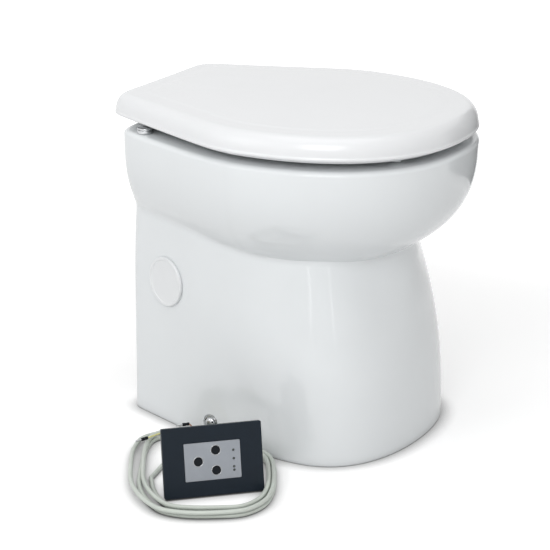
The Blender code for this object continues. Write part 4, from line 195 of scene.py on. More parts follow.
# The photograph's frame, and the camera that was fitted to it
CAMERA_PLACE = (-2.3307, -1.5015, 1.0812)
CAMERA_RIGHT = (0.50366, -0.86388, 0.00633)
CAMERA_UP = (0.2712, 0.16506, 0.94826)
CAMERA_LENS = 146.69
SENSOR_WIDTH = 36
FARTHEST_VIEW = 50
CARD_X = 0.75
CARD_NEAR = -1.05
CARD_FAR = -0.28
CARD_BOTTOM = 0.06
CARD_TOP = 0.75
CARD_ROUGHNESS = 0.9
FLOOR_REACH = 12
LIFT_NEAR = 0.35
LIFT_FAR = 1.5
# Samples of the ambient occlusion that paints shade on the floor beside the foot
PAINTED_SHADE_SAMPLES = 12


def smooth(share):
    """A share that starts and ends softly: 3 times its square less 2 times its cube."""
    return share**2 * (3 - 2 * share)


def unit(vector):
    """A vector, or each row of several, at length 1."""
    vector = np.array(vector, float)
    return vector / np.linalg.norm(vector, axis=-1, keepdims=True)


def half_turn(count, corner_share, spread=0.05, density=3.0):
    """Angles from the front tip to the rear, drawn together round the outline's rear corner.

    The spacing is the inverse of 1 plus a bell curve centred on the corner."""
    share = np.linspace(0, 1, 2001)
    weight = 1 + density * np.exp(-(((share - corner_share) / spread) ** 2))
    total = np.cumsum(weight)
    total = (total - total[0]) / (total[-1] - total[0])
    return np.pi * np.interp(np.linspace(0, 1, count + 1), total, share)


REAR_CORNER_SHARE = 0.835
HALF = half_turn(150, REAR_CORNER_SHARE)
AROUND = np.concatenate([HALF, -HALF[-2:0:-1]])
SIDE = np.abs(np.sin(AROUND))
FORWARD = np.clip(np.cos(AROUND), 0, None)
REARWARD = np.clip(-np.cos(AROUND), 0, None)


def oval(half_width, front, back, power):
    """Reach of an oval in polar form: 1 over the power mean of side and length over their half axes."""
    length = FORWARD / front + REARWARD / back
    return ((SIDE / half_width) ** power + length**power) ** (-1 / power)


def nearest(*reaches, softness=CORNER_SOFTNESS):
    """The smallest of several reaches, with the corner between them rounded by a power mean."""
    return sum(reach ** (-float(softness)) for reach in reaches) ** (-1 / softness)


def farthest(*reaches, softness):
    """The largest of several reaches, with the crease between them filled by a power mean."""
    return sum(reach ** float(softness) for reach in reaches) ** (1 / softness)


def flank(offset, slope):
    """Reach of two straight flanks that draw in towards the back."""
    return offset / np.clip(SIDE + REARWARD * slope - FORWARD, LEAST, None)


def flat_back(back):
    """Reach of a flat rear face."""
    return back / np.clip(REARWARD, LEAST, None)


def with_back(reach, softness=CORNER_SOFTNESS):
    """A reach that also stops at the ceramic's flat rear face."""
    return reach * (1 + (reach / flat_back(BACK_REACH)) ** softness) ** (-1 / softness)


def ring(reach, height, shift=0.0):
    """Points at a reach from the bowl's axis, or from an axis that is shifted towards the back."""
    height = np.asarray(height, float)
    x = reach * np.sin(AROUND)
    y = AXIS_Y + shift - reach * np.cos(AROUND)
    return np.stack([x, y, np.broadcast_to(height, x.shape)], axis=-1)


def bowl_reach(height):
    """The bowl: an oval with straight flanks, scaled by a superellipse of its depth below the rim."""
    depth = np.clip((RIM_HEIGHT - height) / BOWL_DROP, 0, 0.999)
    size = np.sqrt(1 - depth**BOWL_CURVE)
    return nearest(oval(*BOWL_OVAL), flank(*BOWL_FLANK)) * size


def bulge_reach(height):
    """The pedestal's round front: an oval about an axis ahead of the bowl's, found by halving."""
    rise = np.clip(height / PEDESTAL_TOP, 0, None) ** BULGE_CURVE
    half_width = PEDESTAL_HALF_WIDTH - BULGE_SIDE_DRAW_IN * rise
    front = np.maximum(PEDESTAL_FRONT - BULGE_AXIS - BULGE_DRAW_IN * rise, LEAST)
    blend = np.clip((height - BULGE_BACK_START) / (BULGE_BACK_END - BULGE_BACK_START), 0, 1)
    back = BULGE_BACK_LOW + (BULGE_BACK_HIGH - BULGE_BACK_LOW) * smooth(blend)
    near = np.zeros(np.broadcast(height, AROUND).shape)
    far = np.full(near.shape, PEDESTAL_FRONT * 2)
    for _ in range(HALVINGS):
        reach = (near + far) / 2
        along = BULGE_AXIS - reach * np.cos(AROUND)
        length = np.where(along < 0, -along / front, along / back)
        measure = (reach * SIDE / half_width) ** BULGE_OVAL + length**BULGE_OVAL
        near = np.where(measure < 1, reach, near)
        far = np.where(measure < 1, far, reach)
    return (near + far) / 2


def pedestal_reach(height):
    """The pedestal: the larger of a straight-sided rear block and the round front, dished at the bolts."""
    power = np.where(FORWARD > 0, BLOCK_POWER, BLOCK_CORNER)
    front = oval(BLOCK_HALF_WIDTH, BLOCK_FRONT, FAR_OVAL_BACK, power)
    block = nearest(front, flank(BLOCK_FLANK_OFFSET, BLOCK_SLOPE), softness=BLOCK_CORNER)
    whole = farthest(block, bulge_reach(height), softness=WAIST)
    behind = -whole * np.cos(AROUND) - DISH_BEHIND_AXIS
    distance = behind**2 + (height - DISH_HEIGHT) ** 2
    return whole - DISH_DEPTH * np.exp(-distance / (2 * DISH_SPREAD**2)) * SIDE


def crease_height():
    """The height at which bowl and pedestal meet in each direction, found by halving."""
    low = np.full(AROUND.shape, PEDESTAL_TOP * 0.85)
    high = np.full(AROUND.shape, RIM_HEIGHT - REAR_WALL)
    for _ in range(HALVINGS):
        middle = (low + high) / 2
        inside = bowl_reach(middle) < pedestal_reach(middle)
        low = np.where(inside, middle, low)
        high = np.where(inside, high, middle)
    return (low + high) / 2


def skin_reach(height):
    """The ceramic's outer surface: bowl and pedestal, with rear corners that are sharper low down."""
    share = (np.asarray(height) - PEDESTAL_CORNER_END) / (BOWL_CORNER_START - PEDESTAL_CORNER_END)
    corner = PEDESTAL_CORNER + (CORNER_SOFTNESS - PEDESTAL_CORNER) * np.clip(share, 0, 1)
    whole = farthest(bowl_reach(height), pedestal_reach(height), softness=CREASE_SOFTNESS)
    return with_back(whole, softness=corner)


def through(knots, count):
    """Evenly spaced places on a smooth curve through the knots, one Hermite cubic a span."""
    route = np.array(knots, float)
    ends = np.concatenate([[2 * route[0] - route[1]], route, [2 * route[-1] - route[-2]]])
    share = np.linspace(0, 1, SPAN_STEPS, endpoint=False)[None, :, None]
    a, b, c, d = (ends[start : start + len(route) - 1, None, :] for start in range(4))
    square = (2 * a - 5 * b + 4 * c - d) * share**2
    cubic = (3 * b - a - 3 * c + d) * share**3
    fine = 0.5 * (2 * b + (c - a) * share + square + cubic)
    fine = np.concatenate([fine.reshape(-1, route.shape[1]), route[-1:]])
    steps = np.linalg.norm(np.diff(fine, axis=0), axis=1)
    along = np.concatenate([[0], np.cumsum(steps)])
    places = np.linspace(0, along[-1], count)
    return np.stack([np.interp(places, along, axis) for axis in fine.T], axis=-1)


def grid_mesh(name, points, along=False, caps=False):
    """A mesh on rows of points that close round.

    Along joins the last row to the first, and caps fill both ends."""
    rows, columns = points.shape[:2]
    index = np.arange(rows * columns).reshape(rows, columns)
    index = np.concatenate([index, index[:, :1]], axis=1)
    if along:
        index = np.concatenate([index, index[:1]], axis=0)
    corners = (index[:-1, :-1], index[:-1, 1:], index[1:, 1:], index[1:, :-1])
    faces = np.stack(corners, axis=-1).reshape(-1, 4).tolist()
    if caps:
        faces += [list(range(columns)), list(range((rows - 1) * columns, rows * columns))]
    mesh = bpy.data.meshes.new(name)
    mesh.from_pydata(points.reshape(-1, 3).tolist(), [], faces)
    return cleaned(mesh)


def cleaned(mesh, merge=1e-6):
    """Merge doubled points and turn every face outwards."""
    shape = bmesh.new()
    shape.from_mesh(mesh)
    bmesh.ops.remove_doubles(shape, verts=shape.verts, dist=merge)
    bmesh.ops.recalc_face_normals(shape, faces=shape.faces)
    shape.to_mesh(mesh)
    shape.free()
    return mesh


def joined(name, *meshes):
    """Several closed shells as one mesh."""
    shape = bmesh.new()
    for mesh in meshes:
        shape.from_mesh(mesh)
        bpy.data.meshes.remove(mesh)
    made = bpy.data.meshes.new(name)
    shape.to_mesh(made)
    shape.free()
    return made


def put(name, data):
    """A new object in the scene that carries some data."""
    obj = bpy.data.objects.new(name, data)
    bpy.context.scene.collection.objects.link(obj)
    return obj


def lay(mesh, slot, body="toilet", nodes=(), look=None, sharp=SHARP_ANGLE, flat=False):
    """Put a finished mesh in the scene: it rides on a body, takes the finish of its look or else of its
    slot, and hides the CAD nodes it stands for.

    Where flat is set, a face with more than four sides is a plane and is shaded as one."""
    mesh.materials.clear()
    mesh.materials.append(finish(look or slot))
    mesh.shade_smooth()
    mesh.set_sharp_from_angle(angle=math.radians(sharp))
    if flat:
        for face in mesh.polygons:
            face.use_smooth = face.loop_total <= 4
    obj = put(mesh.name, mesh)
    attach(obj, body)
    if nodes:
        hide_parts(*nodes)
    return obj


def lay_node(mesh, node, **choices):
    """Put in a finished mesh that stands for one CAD node, with that node's body and slot."""
    return lay(mesh, SLOTS[node], BODIES[node], (node,), **choices)


def changed(mesh, kind, **choices):
    """A mesh after one modifier, under the same name."""
    obj = put("changed", mesh)
    change = obj.modifiers.new("change", kind)
    for name, value in choices.items():
        setattr(change, name, value)
    bpy.context.view_layer.update()
    made = bpy.data.meshes.new_from_object(obj.evaluated_get(bpy.context.evaluated_depsgraph_get()))
    name = mesh.name
    bpy.data.objects.remove(obj)
    mesh.name = "unchanged"
    made.name = name
    return made


def cut_away(mesh, *cutters):
    """Take closed cutter meshes out of a mesh with one exact Boolean."""
    tool = put("cut_tool", joined("cut_tool", *cutters))
    made = changed(mesh, "BOOLEAN", solver="EXACT", operation="DIFFERENCE", object=tool)
    bpy.data.objects.remove(tool)
    return made


def softened(mesh, width, segments=2):
    """A mesh whose hard edges are rounded by a bevel of that width."""
    angle = math.radians(BEVEL_ANGLE)
    return changed(mesh, "BEVEL", width=width, segments=segments, limit_method="ANGLE", angle_limit=angle)


def rounded(corners, steps=5, closed=False):
    """A line through (x, y, radius) corners, each rounded by an arc that touches both of its sides."""
    count = len(corners)
    line = []
    for index, (x, y, radius) in enumerate(corners):
        here = np.array((x, y), float)
        if radius <= 0 or (not closed and index in (0, count - 1)):
            line.append(here)
            continue
        before = np.array(corners[index - 1][:2], float) - here
        after = np.array(corners[(index + 1) % count][:2], float) - here
        before_length = np.linalg.norm(before)
        after_length = np.linalg.norm(after)
        before /= before_length
        after /= after_length
        half = math.acos(float(np.clip(before @ after, -1, 1))) / 2
        back = min(radius / math.tan(half), before_length * CORNER_SHARE, after_length * CORNER_SHARE)
        middle = before + after
        size = np.linalg.norm(middle)
        if size < 1e-9:
            line.append(here)
            continue
        centre = here + middle / size * back / math.cos(half)
        start = here + before * back - centre
        end = here + after * back - centre
        turn = math.pi - 2 * half
        for share in np.linspace(0, 1, steps):
            weight = (math.sin((1 - share) * turn), math.sin(share * turn))
            line.append(centre + (start * weight[0] + end * weight[1]) / math.sin(turn))
    return np.array(line)


AXES = {
    "x": np.array(((0, 1, 0), (0, 0, 1), (1, 0, 0)), float),
    "y": np.array(((0, 0, 1), (1, 0, 0), (0, 1, 0)), float),
    "z": np.array(((1, 0, 0), (0, 1, 0), (0, 0, 1)), float),
    "rear": np.array(((-1, 0, 0), (0, 0, 1), (0, 1, 0)), float),
}


def turned(name, corners, place, axes, sides, closed=False):
    """A surface of revolution: a rounded profile of (radius, height) turned about the third axis."""
    profile = rounded(corners, closed=closed)
    angle = np.linspace(0, 2 * np.pi, sides, endpoint=False)
    radius = profile[:, :1]
    height = np.broadcast_to(profile[:, 1:], (len(profile), sides))
    local = np.stack([radius * np.cos(angle), radius * np.sin(angle), height], axis=-1)
    return grid_mesh(name, np.array(place, float) + local @ axes, along=closed)


def plug(name, radius, reach, place, axes, sides):
    """A closed cylinder that reaches as far to each side of a place, to cut a round hole."""
    corners = [(0, reach, 0), (radius, reach, 0), (radius, -reach, 0), (0, -reach, 0)]
    return turned(name, corners, place, axes, sides)


def outward_axes(normal):
    """Three square directions, the last one along a normal that isn't upright."""
    normal = unit(normal)
    first = unit(np.cross((0, 0, 1), normal))
    return np.array((first, np.cross(normal, first), normal))


def prism(name, outline, thickness, place, axes):
    """A flat outline with a thickness about its middle plane, on the first two of three axes."""
    flat = np.array(outline, float)
    rows = [np.column_stack([flat, np.full(len(flat), side * thickness / 2)]) for side in (-1, 1)]
    return grid_mesh(name, np.array(place, float) + np.array(rows) @ axes, caps=True)


def rounded_rectangle(width, height, radius, steps=6):
    """The outline of a rectangle about its centre, with an arc in each corner."""
    x = width / 2
    y = height / 2
    return rounded([(x, y, radius), (-x, y, radius), (-x, -y, radius), (x, -y, radius)], steps, True)


def tube(name, path, radius, sides):
    """A round rod along a path, filled at both ends: circles square to the path, turned to the upright."""
    path = np.array(path, float)
    tangent = unit(np.gradient(path, axis=0))
    across = unit(np.cross(tangent, (0, 0, 1)))
    upward = np.cross(across, tangent)
    angle = np.linspace(0, 2 * np.pi, sides, endpoint=False)[None, :, None]
    circle = across[:, None, :] * np.cos(angle) + upward[:, None, :] * np.sin(angle)
    return grid_mesh(name, path[:, None, :] + circle * radius, caps=True)


def bend(reach, height, across, up, count, start=0, end=90):
    """Rows round a quarter of an ellipse: across (1 - sin a) and up (1 - cos a) away from its corner."""
    angles = np.radians(np.linspace(start, end, count))
    return [ring(reach + across * (1 - math.sin(a)), height + up * (1 - math.cos(a))) for a in angles]


# Seat, lid and hinge
SEAT_BOTTOM = SOLID_RIM + 0.015
SEAT_THICKNESS = 0.0155
SEAT_INSET = 0.0095
SEAT_OVAL = (0.106, 0.146, 0.086, 2.2)
SEAT_BACK = 0.184
SEAT_ROUND = 0.006
SEAT_FALL = 0.1
SEAT_ROLL = 1.4
LID_OVAL = (0.1850, 0.2205, FAR_OVAL_BACK, BOWL_POWER)
LID_FLANK = (0.1915, 0.43)
LID_BACK = 0.2125
LID_CORNER = 30
LID_LIP_BOTTOM = SOLID_RIM + 0.0195
LID_LIP_WIDTH = 0.0060
LID_UNDERSIDE = SEAT_BOTTOM + SEAT_THICKNESS + 0.0035
LID_EDGE_TOP = LID_UNDERSIDE + 0.0125
LID_CROWN = LID_EDGE_TOP + 0.0060
LID_ROUND_IN = 0.00275
LID_EDGE_WIDTH = 0.017
LID_LIP_HEIGHT = 0.0052
LID_LIP_STEP = 0.0011
LID_LIP_TURN = 0.55
LID_LIP_TUCK = 0.0024
LID_EDGE_END = math.degrees(0.055)
LID_STEP_START = 0.865
LID_STEP_SPAN = 0.045
LID_NOTCH_CLEARANCE = 0.0040
LID_NOTCH_RISE = 0.0015
NOTCH_MARGIN = 0.004
NOTCH_CORNER = 0.002
NOTCH_REACH = 0.015
HINGE_Y = AXIS_Y + 0.200
HINGE_HEIGHT = SOLID_RIM + 0.025
HINGE_ROD_RADIUS = 0.0025
BARREL_RADIUS = 0.0055
BASE_BARREL_X = 0.078
BASE_BARREL_LENGTH = 0.012
LINK_WIDTH = 0.009
LINK_THICKNESS = 0.004032
SEAT_BARREL_X = 0.0635
LID_BARREL_X = 0.049
LUG_LENGTH = 0.013
LUG_ROUND = 0.0003
BASE_NECK = 0.0006
# Collar, groove, disc, stud and nut of a hinge base: radius, height over the rim, rounding
BASE_PROFILE = (
    ((0, 0.0071, 0), (0.0100, 0.0071, 0.0010), (0.0100, 0.0051, 0.0003), (0.0085, 0.0051, 0))
    + ((0.0085, 0.0045, 0), (0.0100, 0.0045, 0.0008), (0.0100, 0, 0.0005), (STUD_RADIUS, 0, 0))
    + ((STUD_RADIUS, -0.0176, 0), (0.0095, -0.0176, 0.0004), (0.0095, -0.0206, 0.0008))
    + ((0.00665, -0.0276, 0.0006), (STUD_RADIUS, -0.0276, 0), (STUD_RADIUS, -0.0336, 0.0006))
    + ((0, -0.0336, 0),)
)
ARM_REACH = 0.038
ARM_THICKNESS = 0.0042
LUG_PAD_THICKNESS = 0.0026
SEAT_PAD_LENGTH = 0.024
LID_PAD_FRONT = 0.0130
LID_PAD_REAR = 0.0050
BUFFER_RADIUS = 0.0075
LID_REST_RADIUS = 0.0065
# Share of the radius, share of the height, rounding
BUFFER_PROFILE = (
    ((0, 1, 0), (1, 1, 0.0006), (1, 0.58, 0.0008), (0.8, 0.48, 0.0008))
    + ((0.8, 0.1, 0.0012), (0.7, 0, 0.0010), (0, 0, 0))
)
BUFFER_PLACES = (
    ("front_left", -0.074, AXIS_Y - 0.172),
    ("front_right", 0.074, AXIS_Y - 0.172),
    ("rear_left", -0.118, AXIS_Y + 0.066),
    ("rear_right", 0.118, AXIS_Y + 0.066),
)

# Side cap and floor bolt: radius, height over the flank, rounding
CAP_PROFILE = (
    ((0, 0.0028, 0), (0.0270, 0.0028, 0.0005), (0.0278, 0.0036, 0.0005), (0.03086, 0.0036, 0.0009))
    + ((0.0315, 0.0020, 0.0009), (0.0315, 0, 0.0003), (CAP_PLUG_RADIUS, 0, 0.0004))
    + ((0.0227, -0.0150, 0.0004), (0.0211, -0.0150, 0.0004), (0.0211, 0.0012, 0.0010), (0, 0.0012, 0))
)
BOLT_PROFILE = (
    ((0, 0.0062, 0), (0.00374, 0.00589, 0.004), (0.006324, 0.004092, 0.003), (0.0068, 0.00196, 0.0012))
    + ((0.0068, 0.0014, 0.0002), (0.0090, 0.0014, 0.0004), (0.0090, 0, 0.0002), (BOLT_RADIUS, 0, 0))
    + ((BOLT_RADIUS, -0.0225, 0.0005), (0, -0.026, 0))
)

# Control panel: its own axes run across, up and out of its face
PANEL_PLACE = Vector((-0.2813, -0.2335, 0.0023))
PANEL_LEAN = math.radians(14)
PANEL_TURN = math.radians(45)
PANEL = Matrix.Translation(PANEL_PLACE) @ Euler((-PANEL_LEAN, 0, -PANEL_TURN)).to_matrix().to_4x4()
FRAME_WIDTH = 0.120
FRAME_HEIGHT = 0.083
FRAME_THICKNESS = 0.007
FRAME_CORNER = 0.0018
PLATE_WIDTH = 0.0675
PLATE_HEIGHT = 0.0450
PLATE_CORNER = 0.0012
PLATE_CENTRE = (-0.0005, 0.0408)
PLATE_THICKNESS = 0.0015
PLATE_RECESS = 0.0004
PLATE_BACK = PLATE_RECESS + PLATE_THICKNESS
PLATE_ROUND = 0.00018
FRAME_ROUND = 0.0006
HOLE_REACH = 0.004
BEZEL_GAP = 0.00036
BEZEL_WIDTH = 0.0007
BEZEL_HEIGHT = 0.00035
BEZEL_LIFT = 0.00002
BEZEL_ROUND = 0.00025
BUTTON_RADIUS = 0.0051
BUTTON_PROUD = 0.0010
BUTTON_TRAVEL = 0.0006
BUTTON_FLANGE = 0.0011
BUTTON_PLACES = (("top", 0.0036, 0.0532), ("left", -0.0178, 0.0411), ("bottom", 0.0034, 0.0293))
LAMP_RADIUS = 0.0012
LAMP_X = 0.0249
BAR_CORNER = 0.0004
LAMP_HEIGHTS = (0.0514, 0.0413, 0.0317, 0.0277)
BACK_BOX_WIDTH = 0.092
BACK_BOX_HEIGHT = 0.064
BACK_BOX_DEPTH = 0.033
BACK_BOX_WALL = 0.0020
BACK_BOX_BOTTOM = 0.0084
BACK_BOX_START = FRAME_THICKNESS + GAP
BOX_CORNER = 0.004
BOX_ROUND = 0.0008
GLAND_RADIUS = 0.0065
GLAND_TIP_RADIUS = 0.0042
GLAND_LENGTH = 0.014
GLAND_HEIGHT = 0.030

# Cable and its two cores, whose routes end at the pins' tips
CABLE_DIAMETER = 0.0055
CABLE_LAY = CABLE_DIAMETER / 2 + GAP
CORD_GAP = 0.0004
CABLE_STEP = 0.0028
COIL_CENTRE = (-0.2316, AXIS_Y - 0.0025)
COIL_TURN = math.radians(-59.1)
COIL_HALF_WIDTH = 0.0883
COIL_HALF_LENGTH = 0.1365
COIL_OVAL = 3.2
COIL_SOFT_CORNER = 0.8
COIL_WALL_SIDE = 0.0860
COIL_CORNER = 7
COIL_START = 0.556
COIL_TURNS = 3.68
COIL_LIFT = 0.0062
COIL_POINTS = 24
COIL_PITCHES = (0.0061, 0.0068, 0.0150, 0.0140)
CABLE_FLOOR_ROUTE = (
    (-0.1200, -0.1900, 0.0100),
    (-0.1290, -0.1680, 0.0040),
    (-0.1440, -0.1590, CABLE_LAY),
    (-0.1600, -0.1680, CABLE_LAY),
)
CORE_DIAMETER = 0.0018
CORE_SIDE = 0.0013
CORE_LEAD = 0.002
CRIMP_RADIUS = 0.0021
CRIMP_LENGTH = 0.009
PIN_RADIUS = 0.0010
PIN_LENGTH = 0.009
PIN_OVERLAP = 0.001
YELLOW_ROUTE = (
    (-0.1320, -0.1055, 0.0130),
    (-0.1480, -0.1010, 0.0150),
    (-0.1680, -0.1080, 0.0152),
    (-0.1880, -0.1260, 0.0152),
    (-0.2035, -0.1375, 0.0148),
)
BROWN_ROUTE = (
    (-0.1275, -0.1060, 0.0130),
    (-0.1320, -0.0920, 0.0158),
    (-0.1380, -0.0815, 0.0158),
    (-0.1560, -0.0870, 0.0155),
)

# CAD nodes whose own shape is shown, smoothed, and those among them whose look isn't their slot's
PLAIN_NODES = """
floor_bracket_left floor_bracket_right hinge_rod pump_housing pump_cover bowl_boot boot_clamp_lower
boot_clamp_upper motor_can motor_end_cap motor_magnet brush_plate shaft_seal pump_bracket motor_strap
rubber_mat discharge_pipe joker_valve discharge_spigot solenoid_valve solenoid_coil rinse_hose
rinse_nozzle control_box control_box_lid circuit_board rotor_shaft impeller cutter_blade
motor_armature solenoid_plunger solenoid_spring
""".split()
OTHER_LOOKS = dict.fromkeys(("motor_end_cap", "control_box", "control_box_lid"), "pump_plastic")
SLOTS = {row["node"]: row["material_slot"] for row in frame["record"]["subparts"]}
BODIES = {node: obj["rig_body"] for node, obj in frame["nodes"].items()}


# Colour, roughness, metallic, tone spread, clouds per metre, roughness spread, grain per metre and depth
FINISHES = {
    "glazed_ceramic": ((0.775, 0.800, 0.812), 0.10, 0.0, 0.012, 9, 0.03, 38, 0.00006),
    "seat_white": ((0.805, 0.815, 0.827), 0.22, 0.0, 0.008, 12, 0.04, 900, 0.000006),
    "cap_white": ((0.780, 0.795, 0.805), 0.32, 0.0, 0.010, 40, 0.05, 1500, 0.000010),
    "bracket_grey": ((0.33, 0.34, 0.35), 0.50, 0.0, 0.05, 60, 0.10, 1800, 0.000020),
    "chrome": ((0.50, 0.51, 0.52), 0.10, 1.0, 0.02, 80, 0.06, 2500, 0.000002),
    "stainless_steel": ((0.58, 0.59, 0.60), 0.28, 1.0, 0.04, 90, 0.12, 2600, 0.000008),
    "buffer_plastic": ((0.78, 0.80, 0.81), 0.24, 0.0, 0.02, 120, 0.05, 1600, 0.000008),
    "pump_plastic": ((0.045, 0.046, 0.050), 0.42, 0.0, 0.10, 50, 0.12, 1900, 0.000030),
    "black_rubber": ((0.028, 0.028, 0.029), 0.72, 0.0, 0.12, 60, 0.10, 1400, 0.000040),
    "lamination_steel": ((0.36, 0.37, 0.38), 0.42, 1.0, 0.06, 120, 0.12, 2400, 0.000020),
    "motor_paint": ((0.040, 0.042, 0.048), 0.36, 0.0, 0.08, 60, 0.10, 1200, 0.000025),
    "ferrite_magnet": ((0.09, 0.09, 0.10), 0.58, 0.0, 0.08, 90, 0.10, 2200, 0.000030),
    "brush_copper": ((0.70, 0.36, 0.20), 0.34, 1.0, 0.06, 120, 0.12, 2400, 0.000015),
    "valve_brass": ((0.70, 0.53, 0.27), 0.28, 1.0, 0.06, 90, 0.12, 2200, 0.000012),
    "clear_hose": ((0.70, 0.73, 0.74), 0.26, 0.0, 0.03, 60, 0.06, 1500, 0.000010),
    "panel_black": ((0.008, 0.014, 0.022), 0.40, 0.0, 0.08, 70, 0.08, 3200, 0.000012),
    "plate_silver": ((0.29, 0.31, 0.34), 0.36, 0.55, 0.05, 60, 0.08, 3600, 0.000010),
    "circuit_board": ((0.05, 0.20, 0.10), 0.42, 0.0, 0.10, 160, 0.10, 2400, 0.000010),
    "indicator_lens": ((0.06, 0.07, 0.06), 0.18, 0.0, 0.05, 200, 0.04, 2400, 0.000004),
    "button_black": ((0.006, 0.008, 0.011), 0.42, 0.0, 0.08, 200, 0.08, 3600, 0.000010),
    "cable_sheath": ((0.56, 0.60, 0.55), 0.40, 0.0, 0.07, 22, 0.08, 1400, 0.000020),
    "core_yellow": ((0.70, 0.68, 0.27), 0.42, 0.0, 0.06, 90, 0.06, 2200, 0.000010),
    "core_brown": ((0.32, 0.15, 0.09), 0.42, 0.0, 0.08, 90, 0.06, 2200, 0.000010),
}
GLOSS = {"panel_black": 0.18, "button_black": 0.15}
PLAIN_GLOSS = 0.5
TONE_SHARE = 4


def add_node(tree, kind, inputs=(), **choices):
    """A node with its choices set and each input linked or given a value; its outputs are handed back."""
    made = tree.nodes.new(kind)
    for name, value in choices.items():
        setattr(made, name, value)
    for name, value in dict(inputs).items():
        if isinstance(value, bpy.types.NodeSocket):
            tree.links.new(value, made.inputs[name])
        else:
            made.inputs[name].default_value = value
    return made.outputs


def math_node(tree, operation, *values):
    """The result of one step of arithmetic."""
    return add_node(tree, "ShaderNodeMath", enumerate(values), operation=operation)[0]


def surface_group():
    """Colour, roughness and normal of a surface with soft clouds of tone and a fine grain."""
    group = bpy.data.node_groups.get("Surface Variation")
    if group is not None:
        return group
    group = bpy.data.node_groups.new("Surface Variation", "ShaderNodeTree")
    value = "NodeSocketFloat"
    sockets = [("INPUT", "Place", "NodeSocketVector"), ("INPUT", "Colour", "NodeSocketColor")]
    for label in ("Tone Spread", "Clouds", "Roughness", "Roughness Spread", "Grain", "Grain Depth"):
        sockets.append(("INPUT", label, value))
    sockets += [("OUTPUT", "Colour", "NodeSocketColor"), ("OUTPUT", "Roughness", value)]
    sockets.append(("OUTPUT", "Normal", "NodeSocketVector"))
    for way, label, kind in sockets:
        group.interface.new_socket(label, in_out=way, socket_type=kind)
    given = add_node(group, "NodeGroupInput")
    noise = "ShaderNodeTexNoise"
    clouds = add_node(group, noise, {"Detail": 3, "Vector": given["Place"], "Scale": given["Clouds"]})
    centred = math_node(group, "SUBTRACT", clouds["Fac"], 0.5)
    tone = math_node(group, "MULTIPLY_ADD", centred, given["Tone Spread"], 1.0)
    shade = {0: given["Colour"], "Scale": tone}
    shaded = add_node(group, "ShaderNodeVectorMath", shade, operation="SCALE")
    rough = math_node(group, "MULTIPLY_ADD", centred, given["Roughness Spread"], given["Roughness"])
    grain = add_node(group, noise, {"Detail": 2, "Vector": given["Place"], "Scale": given["Grain"]})
    bump = add_node(group, "ShaderNodeBump", {"Distance": given["Grain Depth"], "Height": grain["Fac"]})
    result = {"Colour": shaded[0], "Roughness": rough, "Normal": bump["Normal"]}
    add_node(group, "NodeGroupOutput", result)
    return group


def finish(name):
    """The material of a slot, made once from its row of figures."""
    found = bpy.data.materials.get(f"toilet_{name}")
    if found is not None:
        return found
    colour, roughness, metallic, tone, clouds, rough_spread, grain, depth = FINISHES[name]
    colour = getattr(bpy.context.scene.toilet_finish, name, colour)
    made = bpy.data.materials.new(f"toilet_{name}")
    made.use_nodes = True
    tree = made.node_tree
    shader = tree.nodes["Principled BSDF"]
    shader.inputs["Metallic"].default_value = metallic
    shader.inputs["Specular IOR Level"].default_value = GLOSS.get(name, PLAIN_GLOSS)
    place = add_node(tree, "ShaderNodeTexCoord")["Object"]
    surface = tree.nodes.new("ShaderNodeGroup")
    surface.node_tree = surface_group()
    tree.links.new(place, surface.inputs["Place"])
    values = {"Colour": (*colour, 1), "Tone Spread": tone * TONE_SHARE, "Clouds": clouds}
    values |= {"Roughness": roughness, "Roughness Spread": rough_spread}
    values |= {"Grain": grain, "Grain Depth": depth}
    for label, value in values.items():
        surface.inputs[label].default_value = value
    for label, socket in (("Colour", "Base Color"), ("Roughness", "Roughness"), ("Normal", "Normal")):
        tree.links.new(surface.outputs[label], shader.inputs[socket])
    return made


def flank_point(behind_axis, outward=0.0):
    """A point on the pedestal's flank, on the side of +X, and outwards from it."""
    x = BLOCK_FLANK_OFFSET - BLOCK_SLOPE * behind_axis + outward * math.cos(FLANK_LEAN)
    return x, AXIS_Y + behind_axis + outward * math.sin(FLANK_LEAN)


def flank_axes(side):
    """Axes whose last one points straight out of a flank."""
    return outward_axes((side * math.cos(FLANK_LEAN), math.sin(FLANK_LEAN), 0))


def skin_rows(crease, crease_rows):
    """The outer surface from the foot to the rim's upper edge, in rows that crowd round the crease."""
    edge = RIM_HEIGHT - RIM_EDGE_DEPTH
    rows = bend(skin_reach(FOOT_RISE), 0, -FOOT_CHAMFER, FOOT_RISE, 4)
    low = np.concatenate([np.linspace(0.02, 0.80, 26), np.linspace(0.82, 1.0, crease_rows)])
    high = np.concatenate([np.linspace(0.02, 0.25, crease_rows), np.linspace(0.30, 1, 14)])
    heights = [crease * share + FOOT_RISE * (1 - share) for share in low]
    heights += [crease + (edge - crease) * share for share in high]
    rows += list(ring(skin_reach(np.array(heights)), np.array(heights)))
    top = skin_reach(edge)
    return rows + bend(top, RIM_HEIGHT, -RIM_EDGE_WIDTH, -RIM_EDGE_DEPTH, 14, 90, 0)[1:]


